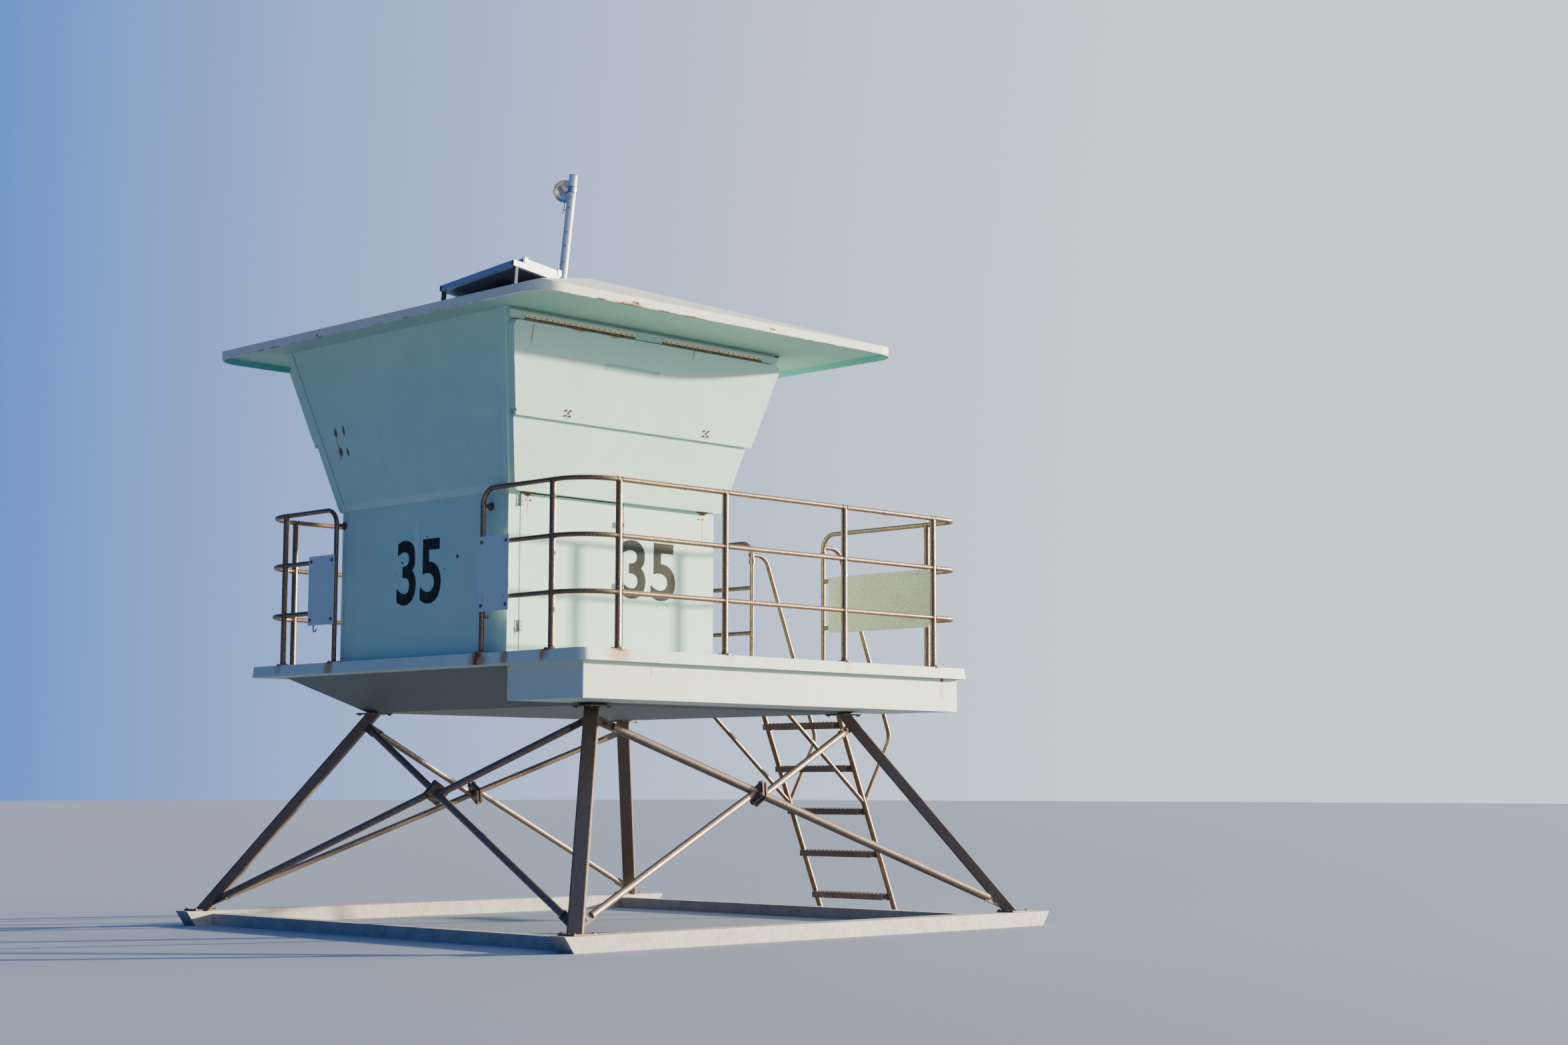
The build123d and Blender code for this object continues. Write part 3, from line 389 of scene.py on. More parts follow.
shutter_paint = fibreglass(
    "shutter_paint", (0.50, 0.75, 0.61), (0.60, 0.80, 0.67), MINT_GRIME,
    roughness=0.42,
    stains=[
        ((1.16, -1.397, 3.392), (0.10, 0.020, 0.014)),
        ((1.16, -0.158, 3.392), (0.10, 0.020, 0.014)),
    ],
    runs=[
        ((1.27, -1.80, 3.86), (0.10, 0.010, 0.12)),
        ((1.27, -1.42, 3.925), (0.10, 0.09, 0.022)),
        ((1.27, -1.12, 3.925), (0.10, 0.07, 0.026)),
        ((1.27, -0.40, 3.90), (0.10, 0.010, 0.06)),
        ((1.16, -1.40, 3.370), (0.10, 0.008, 0.04)),
        ((1.16, -0.16, 3.370), (0.10, 0.008, 0.05)),
    ],
)
roof_paint = fibreglass(
    "roof_paint", (0.66, 0.71, 0.57), (0.80, 0.77, 0.60), (0.24, 0.22, 0.16),
    roughness=0.48,
    stains=[
        ((EAVE_SIDE, -1.505, 3.996), (0.05, 0.050, 0.012)),
        ((EAVE_SIDE, -0.287, 4.001), (0.05, 0.022, 0.007)),
        ((EAVE_SIDE, -1.55, 3.976), (0.05, 0.20, 0.024)),
        ((EAVE_SIDE, -1.27, 3.974), (0.05, 0.14, 0.018)),
        ((EAVE_SIDE, -1.79, 3.976), (0.05, 0.07, 0.020)),
        ((EAVE_SIDE, -1.02, 3.973), (0.05, 0.20, 0.014)),
        ((EAVE_SIDE, -0.55, 3.972), (0.05, 0.45, 0.009)),
        ((-0.4, -2.30, 3.992), (0.016, 0.05, 0.010)),
    ],
    rust_edge=(3.974, 3.986, 1.2),
    inner=(at(0.115, -0.655, 4.0), (0.15, 0.50, 0.48)),
)
# The soffit's paint is darker than the walls': painted shade under the eaves.
soffit_paint_with_shade = fibreglass(
    "soffit_paint_with_shade", (0.35, 0.57, 0.46), (0.42, 0.62, 0.51), (0.14, 0.19, 0.16), roughness=0.5
)
deck_paint = fibreglass(
    "deck_paint", (0.55, 0.69, 0.56), (0.65, 0.75, 0.62), (0.20, 0.22, 0.17),
    roughness=0.45,
    stains=[(foot, (0.075, 0.075, 0.018)) for foot in on_lip(0.028)] + LIP_MARKS,
    runs=[(foot, (0.075, 0.075, 0.05)) for foot in on_lip(-0.01)] + LIP_RUNS,
    runs_share=0.2,
)
box_paint = fibreglass(
    "box_paint", (0.57, 0.70, 0.56), (0.68, 0.76, 0.62), (0.22, 0.22, 0.16),
    roughness=0.42,
    stains=[((BOX_SIDE, 1.60, 1.745), (0.03, 0.022, 0.030))],
    runs=[
        ((BOX_SIDE, 1.60, 1.68), (0.03, 0.030, 0.12)),
        ((BOX_SIDE, -1.2, 1.70), (0.03, 0.01, 0.05)),
    ],
    pale=[
        ((BOX_SIDE, -0.50, 1.545), (0.05, 0.085, 0.020)),
        ((BOX_SIDE, -0.86, 1.548), (0.05, 0.045, 0.018)),
    ],
    runs_share=0.2,
)
# The hull's colour is made darker as painted shade, for the deep shade under the deck.
hull_paint_with_shade = fibreglass(
    "hull_paint_with_shade", (0.165, 0.185, 0.160), (0.22, 0.24, 0.205), (0.08, 0.085, 0.075),
    roughness=0.5,
    runs_share=0.5,
)
rail_metal = weathered_metal(
    "rail_metal", (0.42, 0.27, 0.16), (0.17, 0.108, 0.066), 0.5,
    roughness=0.26,
    stains=[(foot, (0.05, 0.05, 0.03)) for foot in on_lip(0.035)],
)
leg_metal = weathered_metal(
    "leg_metal", (0.135, 0.092, 0.066), (0.20, 0.145, 0.105), 0.5, roughness=0.45, metallic=0.4
)
tread_metal = weathered_metal(
    "tread_metal", (0.17, 0.13, 0.105), (0.26, 0.22, 0.18), 0.7, metallic=0.5
)
brace_metal = weathered_metal(
    "brace_metal", (0.34, 0.265, 0.20), (0.18, 0.14, 0.11), 0.5, roughness=0.36, metallic=0.7
)
skid_metal = weathered_metal(
    "skid_metal", (0.56, 0.54, 0.46), (0.44, 0.41, 0.34), 0.35, roughness=0.55, metallic=0.1
)
strip_metal = weathered_metal(
    "strip_metal", (1.0, 0.84, 0.56), (0.95, 0.74, 0.46), 0.12,
    roughness=0.45,
    metallic=0.05,
    # A dark brown band along the strips' lower edge, at the knuckles.
    stains=[((0, -0.8, 3.9415), (9, 9, 0.0085))],
)
hinge_metal = weathered_metal(
    "hinge_metal", (0.46, 0.66, 0.55), (0.36, 0.46, 0.37), 0.7, metallic=0.1
)
fitting_metal = weathered_metal(
    "fitting_metal", (0.20, 0.16, 0.13), (0.10, 0.075, 0.06), 1.4, roughness=0.55, metallic=0.5
)
fastener_metal = weathered_metal(
    "fastener_metal", (0.26, 0.20, 0.16), (0.13, 0.09, 0.07), 1.8, metallic=0.6
)
mast_metal = weathered_metal(
    "mast_metal", (0.74, 0.76, 0.76), (0.62, 0.65, 0.66), 0.15,
    roughness=0.4,
    metallic=0.15,
    stains=[((0.15, -0.586, 5.232), (0.06, 0.06, 0.012)), ((0.14, -0.586, 5.15), (0.03, 0.06, 0.006))],
)
rusty_metal = weathered_metal(
    "rusty_metal", (0.30, 0.20, 0.12), (0.16, 0.09, 0.05), 3.0, roughness=0.6, metallic=0.3
)
seal_paint = fibreglass(
    "seal_paint", (0.40, 0.43, 0.36), (0.50, 0.52, 0.44), (0.12, 0.12, 0.10), roughness=0.6
)
patch_paint = fibreglass("patch_paint", (0.28, 0.56, 0.50), (0.38, 0.62, 0.55), (0.20, 0.30, 0.27))
aluminium = weathered_metal(
    "aluminium", (0.72, 0.72, 0.71), (0.60, 0.60, 0.60), 0.0, roughness=0.35, metallic=0.8
)
dish_metal = weathered_metal(
    "dish_metal", (0.75, 0.74, 0.70), (0.62, 0.60, 0.56), 0.1, roughness=0.18, metallic=0.9
)
# Dark paint, and the same dark as painted shade in holes, in the panel rails' open ends and on the rails'
# feet.
dark_paint_and_shade = weathered_metal(
    "dark_paint_and_shade", (0.045, 0.042, 0.040), (0.075, 0.070, 0.066), 0.0, roughness=0.6, metallic=0.0
)
back_sheet = weathered_metal(
    "back_sheet", (0.20, 0.20, 0.21), (0.14, 0.14, 0.15), 0.0, metallic=0.0
)
board_skin = fibreglass(
    "board_skin", (0.50, 0.62, 0.62), (0.58, 0.69, 0.68), (0.22, 0.24, 0.25), roughness=0.4
)


def make_sheet_skin():
    """A cloudy plastic sheet, speckled with dirt."""
    material, tree, surface, place = blank("sheet_skin")
    cloud = mottle(tree, place, 6.0, 2.0, 6.0)
    grit = mottle(tree, place, 120.0, 3.5, 6.0)
    base = mix(tree, cloud, (0.68, 0.59, 0.40), (0.82, 0.71, 0.52))
    base = mix(tree, times(tree, grit, 0.55), base, (0.20, 0.20, 0.16))
    coat(tree, surface, base, math_node(tree, "ADD", times(tree, grit, 0.3), 0.35))
    bump(tree, surface, grit, 0.4, 0.001)
    return material


def make_number_paint():
    """Old black paint: worn fine, faded on the right wall's far digit, scraped on the back wall's first."""
    material, tree, surface, place = blank("number_paint")
    wear = mottle(tree, place, 42.0, 5.0, 8.0)
    cloud = mottle(tree, place, 6.0, 2.5, 4.0)
    base = mix(tree, cloud, (0.016, 0.015, 0.014), (0.030, 0.028, 0.024))
    base = mix(tree, times(tree, wear, 0.05), base, MINT)
    faded = use(tree, SPOT, Place=place, Centre=at(0.95, -0.17, 2.43), Reach=(0.3, 0.40, 1.2), Ragged=0.15)
    base = mix(tree, times(tree, faded, 0.85), base, (0.055, 0.054, 0.042))
    scrape = use(
        tree, SPOT, Place=place, Centre=at(-0.028, -1.71, 2.60), Reach=(0.026, 0.3, 0.21), Ragged=0.25
    )
    base = mix(tree, times(tree, scrape, 0.75), base, (0.42, 0.50, 0.52))
    coat(tree, surface, base, math_node(tree, "ADD", times(tree, wear, 0.2), 0.72))
    surface["Specular IOR Level"].default_value = 0.12
    bump(tree, surface, wear, 0.3, 0.0008)
    return material


def make_cell_glass():
    """Dark blue solar cells behind glass."""
    material, tree, surface, place = blank("cell_glass")
    shift = mottle(tree, place, 18.0, 2.0, 3.0)
    dust = mottle(tree, place, 60.0, 2.5, 6.0)
    base = mix(tree, shift, (0.010, 0.020, 0.060), (0.018, 0.034, 0.095))
    base = mix(tree, times(tree, dust, 0.08), base, (0.4, 0.38, 0.33))
    coat(tree, surface, base, math_node(tree, "ADD", times(tree, dust, 0.12), 0.08))
    return material


sheet_skin, number_paint, cell_glass = make_sheet_skin(), make_number_paint(), make_cell_glass()

# The first entry that a node's name starts with gives its material.
NODE_LOOKS = [
    ("hull", hull_paint_with_shade),
    ("deck", deck_paint),
    ("side_box", box_paint),
    ("shutter_hinge_strips", strip_metal),
    ("shutter_", shutter_paint),
    (("lower_wall", "upper_wall", "door_leaf"), wall_paint),
    ("door_hinges", hinge_metal),
    ("door_latches", fitting_metal),
    ("roof_shell", roof_paint),
    ("soffit", soffit_paint_with_shade),
    ("leg_", leg_metal),
    ("braces_", brace_metal),
    ("skid_", skid_metal),
    ("railing_sheet", sheet_skin),
    ("ladder_treads", tread_metal),
    (("railing_", "ladder_"), rail_metal),
    ("mast", mast_metal),
    ("dish", dish_metal),
    ("solar_panel", aluminium),
    ("notice_boards", board_skin),
]
for name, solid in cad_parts.items():
    look = next(material for starts, material in NODE_LOOKS if name.startswith(starts))
    for slot in solid.material_slots:
        slot.material = look


# Geometry Nodes trees


def shape_tree(name, sizes):
    """A new Geometry Nodes tree with named sizes; returns the tree, its given values and its end."""
    tree = bpy.data.node_groups.new(name, "GeometryNodeTree")
    new_socket(tree, "Geometry", "Geometry")
    for label, value in sizes.items():
        new_socket(tree, label, "Int" if isinstance(value, int) else "Float").default_value = value
    new_socket(tree, "Material", "Material")
    new_socket(tree, "Geometry", "Geometry", "OUTPUT")
    return tree, tree.nodes.new("NodeGroupInput").outputs, tree.nodes.new("NodeGroupOutput").inputs[0]


def dressed(tree, given, end, shapes):
    """Ends a tree with real mesh in its material."""
    real = node(tree, "GeometryNodeRealizeInstances", {"Geometry": shapes})
    values = {"Geometry": real.outputs[0], "Material": given["Material"]}
    tree.links.new(node(tree, "GeometryNodeSetMaterial", values).outputs[0], end)
    return tree


def on_points(tree, given, end, shape):
    """Ends a tree with a copy of the shape on each point, turned to the point's own facing."""
    way, upward = (
        node(tree, "GeometryNodeInputNamedAttribute", {"Name": label}, data_type="FLOAT_VECTOR")
        for label in ("facing", "upward")
    )
    faced = node(
        tree, "FunctionNodeAlignRotationToVector", {"Vector": way.outputs["Attribute"]}, axis="Z"
    )
    turn = node(
        tree,
        "FunctionNodeAlignRotationToVector",
        {"Rotation": faced.outputs[0], "Vector": upward.outputs["Attribute"]},
        axis="Y",
        pivot_axis="Z",
    )
    values = {"Points": given["Geometry"], "Instance": shape, "Rotation": turn.outputs[0]}
    copies = node(tree, "GeometryNodeInstanceOnPoints", values)
    return dressed(tree, given, end, copies.outputs[0])


def joined(tree, *shapes):
    """Several shapes as one."""
    both = tree.nodes.new("GeometryNodeJoinGeometry")
    for shape in shapes:
        tree.links.new(shape, both.inputs[0])
    return both.outputs[0]


def disc(tree, sides, low_radius, high_radius, height):
    """A short closed cone or cylinder, standing on the origin."""
    values = {"Vertices": sides, "Radius Top": high_radius, "Radius Bottom": low_radius, "Depth": height}
    return node(tree, "GeometryNodeMeshCone", values).outputs[0]


def circle(tree, corners, radius):
    """A round curve with a number of corners."""
    values = {"Resolution": corners, "Radius": radius}
    return node(tree, "GeometryNodeCurvePrimitiveCircle", values).outputs[0]


def make_fastener_tree():
    """Bolt or screw heads on washers."""
    tree, given, end = shape_tree(
        "fasteners", {"Head radius": 0.01, "Head height": 0.007, "Washer radius": 0.016, "Sides": 6}
    )
    radius, height, washer = given["Head radius"], given["Head height"], given["Washer radius"]
    head = disc(tree, given["Sides"], radius, times(tree, radius, 0.82), height)
    ring = disc(tree, 14, washer, washer, times(tree, height, 0.3))
    return on_points(tree, given, end, joined(tree, head, ring))


def make_bead_tree():
    """Weld beads round a tube."""
    tree, given, end = shape_tree("weld_beads", {"Tube radius": 0.0165, "Bead radius": 0.003})
    ring, profile = circle(tree, 16, given["Tube radius"]), circle(tree, 5, given["Bead radius"])
    bead = node(tree, "GeometryNodeCurveToMesh", {"Curve": ring, "Profile Curve": profile})
    return on_points(tree, given, end, bead.outputs[0])


def make_tile_tree():
    """Small round tiles, such as dark discs painted as the shade inside holes, and caps."""
    tree, given, end = shape_tree("tiles", {"Tile radius": 0.05, "Thickness": 0.001})
    tile = disc(tree, 8, given["Tile radius"], given["Tile radius"], given["Thickness"])
    return on_points(tree, given, end, tile)


def make_plate_tree():
    """Plates and blocks with rounded corners, closed on both faces."""
    tree, given, end = shape_tree(
        "plates", {"Width": 0.05, "Height": 0.03, "Thickness": 0.004, "Corner share": 0.14}
    )
    width, height, thickness = given["Width"], given["Height"], given["Thickness"]
    outline = node(tree, "GeometryNodeCurvePrimitiveQuadrilateral", {"Width": width, "Height": height})
    radius = times(tree, math_node(tree, "MINIMUM", width, height), given["Corner share"])
    values = {"Curve": outline.outputs[0], "Radius": radius, "Count": 3}
    rounded = node(tree, "GeometryNodeFilletCurve", values, mode="POLY")
    face = node(tree, "GeometryNodeFillCurve", {"Curve": rounded.outputs[0]}, mode="NGONS").outputs[0]
    rise = node(tree, "ShaderNodeCombineXYZ", {2: thickness})
    values = {"Mesh": face, "Offset": rise.outputs[0], "Individual": False}
    body = node(tree, "GeometryNodeExtrudeMesh", values)
    back = node(tree, "GeometryNodeFlipFaces", {"Mesh": face})
    both = joined(tree, body.outputs["Mesh"], back.outputs[0])
    closed = node(tree, "GeometryNodeMergeByDistance", {"Geometry": both, "Distance": 0.00001})
    sink = node(tree, "ShaderNodeCombineXYZ", {2: times(tree, thickness, -0.5)})
    values = {"Geometry": closed.outputs[0], "Translation": sink.outputs[0]}
    return on_points(tree, given, end, node(tree, "GeometryNodeTransform", values).outputs[0])


def make_rod_tree():
    """Round bars that follow the curves that they are given."""
    tree, given, end = shape_tree("rods", {"Rod radius": 0.004})
    route = node(tree, "GeometryNodeMeshToCurve", {"Mesh": given["Geometry"]})
    profile = circle(tree, 8, given["Rod radius"])
    values = {"Curve": route.outputs[0], "Profile Curve": profile, "Fill Caps": True}
    return dressed(tree, given, end, node(tree, "GeometryNodeCurveToMesh", values).outputs[0])


FASTENERS, BEADS, TILES = make_fastener_tree(), make_bead_tree(), make_tile_tree()
PLATES, RODS = make_plate_tree(), make_rod_tree()


def baked(source):
    """The plain mesh that an object shows; the object itself goes."""
    graph = bpy.context.evaluated_depsgraph_get()
    mesh = bpy.data.meshes.new_from_object(source.evaluated_get(graph), depsgraph=graph)
    bpy.data.objects.remove(source)
    return mesh


def finished(name, mesh, material):
    """A mesh as a piece of the scene, in one material."""
    mesh.materials.clear()
    mesh.materials.append(material)
    return added(name, mesh)


def settled(name, seed_mesh, tree, material, body, sizes):
    """Runs a tree on a seed mesh, keeps the result as a plain mesh, and lets it ride on a body."""
    seed = added(name + "_seed", seed_mesh)
    modifier = seed.modifiers.new("grow", "NODES")
    modifier.node_group = tree
    sockets = {
        item.name: item.identifier
        for item in tree.interface.items_tree
        if item.item_type == "SOCKET" and item.in_out == "INPUT"
    }
    modifier[sockets["Material"]] = material
    for label, value in sizes.items():
        modifier[sockets[label.replace("_", " ")]] = value
    grown = baked(seed)
    bpy.data.meshes.remove(seed_mesh)
    grown.polygons.foreach_set("material_index", [0] * len(grown.polygons))
    piece = finished(name, grown, material)
    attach(piece, body)


def grow(name, tree, places, material, body="tower", **sizes):
    """Copies a tree's shape to places, each a point with its facing and, where it matters, its upward."""
    mesh = bpy.data.meshes.new(name + "_points")
    mesh.from_pydata([tuple(place[0]) for place in places], [], [])
    facing = mesh.attributes.new("facing", "FLOAT_VECTOR", "POINT")
    upward = mesh.attributes.new("upward", "FLOAT_VECTOR", "POINT")
    for index, (_, way, *given_up) in enumerate(places):
        default = Y if abs(way.z) > 0.95 else Z
        facing.data[index].vector = way
        upward.data[index].vector = given_up[0] if given_up else default
    settled(name, mesh, tree, material, body, sizes)


def rods(name, routes, radius, material):
    """Round bars along routes of points."""
    mesh = bpy.data.meshes.new(name + "_routes")
    points, edges = [], []
    for route in routes:
        edges += [(len(points) + i, len(points) + i + 1) for i in range(len(route) - 1)]
        points += [tuple(point) for point in route]
    mesh.from_pydata(points, edges, [])
    settled(name, mesh, RODS, material, "tower", {"Rod_radius": radius})


def fasten(name, places, sizes, material=fastener_metal, body="tower"):
    """Fasteners at places; the sizes are the head's radius and height, the washer's radius and the sides."""
    labels = ("Head_radius", "Head_height", "Washer_radius", "Sides")
    grow(name, FASTENERS, places, material, body, **dict(zip(labels, sizes)))


def plates(name, places, sizes, material):
    """Plates at places; the sizes are the width, the height and the thickness."""
    grow(name, PLATES, places, material, Width=sizes[0], Height=sizes[1], Thickness=sizes[2])


def tiles(name, places, radius, thickness, material=dark_paint_and_shade):
    """Round tiles at places."""
    grow(name, TILES, places, material, Tile_radius=radius, Thickness=thickness)


def beads(name, places, tube_radius, bead_radius, material):
    """Rings round a tube at places."""
    grow(name, BEADS, places, material, Tube_radius=tube_radius, Bead_radius=bead_radius)


WALLS = {
    "right": (X, at(CABIN_RIGHT, CABIN_MIDDLE_Y, 0)),
    "left": (-X, at(CABIN_LEFT, CABIN_MIDDLE_Y, 0)),
    "front": (Y, at(CABIN_MIDDLE_X, CABIN_FRONT, 0)),
}


def wall_place(side, across, z, proud):
    """A place on a flared wall and its outward facing. The wall leans out as it rises."""
    out, middle = WALLS[side]
    facing = (out - Z * FLARE_SLOPE).normalized()
    lean = out * (JOGGLE + (z - SILL) * FLARE_SLOPE)
    return middle + lean + Z.cross(out) * across + Z * z + facing * proud, facing


# Sealant round the cabin's foot, with a gap at the doorway

DOORWAY_START, DOORWAY_END = -1.618, -0.717
seal_corners = [
    (CABIN_RIGHT, DOORWAY_START), (CABIN_RIGHT, CABIN_BACK), (CABIN_LEFT, CABIN_BACK),
    (CABIN_LEFT, CABIN_FRONT), (CABIN_RIGHT, CABIN_FRONT), (CABIN_RIGHT, DOORWAY_END),
]
rods("cabin_foot_seal", [[at(x, y, DECK_TOP + 0.002) for x, y in seal_corners]], 0.0065, seal_paint)

# Bolts of the posts and legs

POST_BOLT, LEG_TOP_BOLT = (0.006, 0.005, 0.0085, 6), (0.011, 0.009, 0.017, 6)
LEG_FOOT_BOLT = (0.010, 0.008, 0.015, 6)
POST_BOLT_CIRCLE, POST_FLANGE_TOP = 0.034, DECK_TOP + 0.0083

post_bolts = []
for x, y in POST_FEET:
    for turn in (45, 135, 225, 315):
        way = Vector((math.cos(math.radians(turn)), math.sin(math.radians(turn)), 0))
        post_bolts.append((at(x, y, POST_FLANGE_TOP) + way * POST_BOLT_CIRCLE, Z))
fasten("post_foot_bolts", post_bolts, POST_BOLT)


def corner_bolts(reach_x, reach_y, space_x, space_y, z, way):
    """Four bolts round each of the four legs, at the legs' reach from the deck's middle."""
    return [
        (at(sx * reach_x + dx * space_x, sy * reach_y + dy * space_y, z), way)
        for sx, sy, dx, dy in product((-1, 1), repeat=4)
    ]


fasten("leg_top_bolts", corner_bolts(LEG_TOP_REACH, LEG_TOP_REACH, 0.075, 0.075, 1.4923, -Z), LEG_TOP_BOLT)
fasten("leg_foot_bolts", corner_bolts(2.05, LEG_FOOT_REACH, 0.058, 0.078, 0.1125, Z), LEG_FOOT_BOLT)

# Shutters: holes and screws of the hinge strips, lap screws, catches below the sill, repairs, brackets

STRIP_SCREW, LAP_SCREW = (0.004, 0.003, 0.005, 12), (0.006, 0.004, 0.008, 12)
STRIP_HOLES, STRIP_HALF, STRIP_MIDDLE, STRIP_Z = 19, 0.44, 0.5925, 3.965
SCREW_EVERY = 6  # of the strip's holes
LAP_Z, CATCH_Z = 3.408, 2.874

strip_holes, strip_screws, lap_screws = [], [], []
sill_catches, sill_screws, door_top_screws = [], [], []
for side in ("right", "left", "front"):
    for centre in (-STRIP_MIDDLE, STRIP_MIDDLE):
        for i in range(STRIP_HOLES):
            across = centre - STRIP_HALF + i * 2 * STRIP_HALF / (STRIP_HOLES - 1)
            place = wall_place(side, across, STRIP_Z, STRIP_PROUD)
            (strip_holes if i % SCREW_EVERY else strip_screws).append(place)
    for across, catch_across in ((-0.602, -0.752), (0.637, 0.792)):
        for du, dz in product((-0.02, 0.02), (-0.017, 0.017)):
            lap_screws.append(wall_place(side, across + du, LAP_Z + dz, UPPER_SHUTTER_PROUD + 0.003))
        place, out = wall_place(side, catch_across, CATCH_Z, 0)
        face = Vector((out.x, out.y, 0)).normalized()
        sill_catches.append((place + Z * 0.008 - face * 0.004, face))
        on_door = side == "right" and across < 0
        for du in (-0.018, 0.018):
            low = place + Z.cross(face) * du - Z * 0.045 - face * (JOGGLE - 0.001)
            (door_top_screws if on_door else sill_screws).append((low, face))
# Dark discs in the strips' holes: painted shade inside the holes.
tiles("hinge_strip_holes", strip_holes, 0.0046, 0.0006)
fasten("hinge_strip_screws", strip_screws, STRIP_SCREW)
fasten("shutter_lap_screws", lap_screws, LAP_SCREW)
plates("sill_catches", sill_catches, (0.085, 0.015, 0.024), rusty_metal)
fasten("sill_catch_screws", sill_screws, LAP_SCREW)
fasten("door_top_screws", door_top_screws, LAP_SCREW, body="door")

patches = [
    wall_place("right", y - CABIN_MIDDLE_Y, 3.74, UPPER_SHUTTER_PROUD + 0.0006) for y in (-1.035, -0.793)
]
plates("shutter_patches", patches, (0.240, 0.042, 0.0014), patch_paint)
brackets = [(at(x, 0.428, 3.858), way) for x, way in ((1.2535, X), (-1.2195, -X))]
plates("shutter_end_brackets", brackets, (0.030, 0.045, 0.026), fitting_metal)

# Small holes in the soffit, the eave and the back wall

# The soffit's and the eave's holes are dark discs: painted shade inside the holes.
soffit_holes = [
    (at(x + dx, y + dx * 0.4, SOFFIT_FACE_Z), -Z)
    for x, y, steps in ((1.283, -1.658, (-0.022, 0.0, 0.024)), (1.148, -0.826, (-0.018, 0.016)))
    for dx in steps
]
tiles("soffit_holes", soffit_holes, 0.011, 0.001)
fascia_holes = [(at(1.9344, y, 3.9995), X) for y in (-1.522, -1.490, -0.302, -0.272)]
tiles("fascia_holes", fascia_holes, 0.0080, 0.0016)
BACK_MARKS = (
    (0.423, 2.486, 0.013), (0.094, 2.64, 0.006), (-0.182, 2.482, 0.009), (0.284, 2.414, 0.005),
    (-0.243, 2.41, 0.004),
)
for index, (x, z, radius) in enumerate(BACK_MARKS):
    tiles(f"back_wall_hole_{index}", [(at(x, CABIN_BACK - 0.0012, z), -Y)], radius, 0.0016, fitting_metal)

# Rivets under the back and left sills, and screws round the deck's lip

SEAM_RIVET, LIP_SCREW = (0.005, 0.003, 0.006, 10), (0.0045, 0.003, 0.0055, 10)
SEAM_Z, LIP_FACE, LIP_SCREW_Z = 2.858, DECK_HALF - 0.0045, 1.772

rivets = [(at(-0.82 + i * 0.205, CABIN_BACK - 0.001, SEAM_Z), -Y) for i in range(9)]
rivets += [(at(CABIN_LEFT - 0.001, -1.66 + i * 0.2, SEAM_Z), -X) for i in range(9)]
fasten("seam_rivets", rivets, SEAM_RIVET, wall_paint)

lip_screws = []
for i in range(17):
    step = -1.60 + i * 0.20
    for x, y, way in ((step, -LIP_FACE, -Y), (step, LIP_FACE, Y), (LIP_FACE, step, X), (-LIP_FACE, step, -X)):
        lip_screws.append((at(x, y, LIP_SCREW_Z), way))
fasten("deck_lip_screws", lip_screws, LIP_SCREW, box_paint)

# Door: screws of both hinge leaves and of the latches

HINGE_SCREW, LATCH_SCREW = (0.004, 0.0025, 0.005, 12), (0.005, 0.003, 0.0065, 6)
HINGE_FEET, LATCH_LEVELS = (1.969, 2.785), (2.316, 2.729)

door_screws = [
    (at(CABIN_RIGHT + 0.0034, -1.594, z + rise), X) for z in HINGE_FEET for rise in (0.012, 0.038, 0.064)
]
fasten("door_hinge_screws", door_screws, HINGE_SCREW, body="door")
fasten("wall_hinge_screws", [(place - Y * 0.040, way) for place, way in door_screws], HINGE_SCREW)
latch_screws = [
    (at(CABIN_RIGHT + 0.0224, -0.756 + dy, z), X) for z in LATCH_LEVELS for dy in (-0.016, 0.016)
]
fasten("latch_screws", latch_screws, LATCH_SCREW, body="door")

# Railings: weld beads where rails meet posts, rings where they are clamped, sleeves and joints

welds = []
for z in RAIL_LEVELS:
    for side, y, step in product((-1, 1), SIDE_POSTS, (-1, 1)):
        welds.append((at(side * RAIL_LINE, y + step * POST_RADIUS, z), Y))
    for x, side in END_POSTS:
        if abs(x) > 1:
            welds += [(at(x + step * POST_RADIUS, side * RAIL_LINE, z), X) for step in (-1, 1)]
        elif z < RAIL_LEVELS[2]:
            welds.append((at(x + math.copysign(RAIL_RADIUS, x), side * RAIL_LINE, z), X))
beads("rail_welds", welds, 0.0170, 0.0028, rail_metal)

rings = [(at(x, RAIL_LINE, z), X) for z in RAIL_LEVELS[:2] for x in (0.60, 1.02, 1.42)]
rings += [(at(x, -RAIL_LINE, z), X) for z in RAIL_LEVELS[:2] for x in (-1.11, -0.89, 0.81, 1.02)]
beads("rail_clamps", rings, 0.0185, 0.0045, fitting_metal)
sleeves = [[at(side * RAIL_LINE, y, RAIL_LEVELS[2]) for y in (0.962, 1.010)] for side in (-1, 1)]
rods("rail_sleeves", sleeves, 0.0188, rail_metal)
joints = [(at(side * RAIL_LINE, -0.93, RAIL_LEVELS[2]), Y) for side in (-1, 1)]
beads("rail_joints", joints, 0.0158, 0.0026, rail_metal)

# Notice boards: bolts at the corners, and a bent hook below each

BOARD_BOLT = (0.008, 0.006, 0.013, 6)
HOOK_BENDS = ((0, 0, 0), (0, 0, -0.028), (0.010, -0.004, -0.044), (0.030, -0.004, -0.044), (0.040, 0, -0.026))

board_bolts, board_hooks = [], []
for centre in (-1.0, 0.915):
    for dx, dz in product((-0.125, 0.125), (-0.205, 0.205)):
        board_bolts.append((at(centre + dx, -1.8002, 2.338 + dz), -Y))
    hook = at(centre - 0.09, -1.7935, 2.096)
    board_hooks.append([hook + Vector(bend) for bend in HOOK_BENDS])
fasten("board_bolts", board_bolts, BOARD_BOLT, rusty_metal)
rods("board_hooks", board_hooks, 0.0045, fitting_metal)

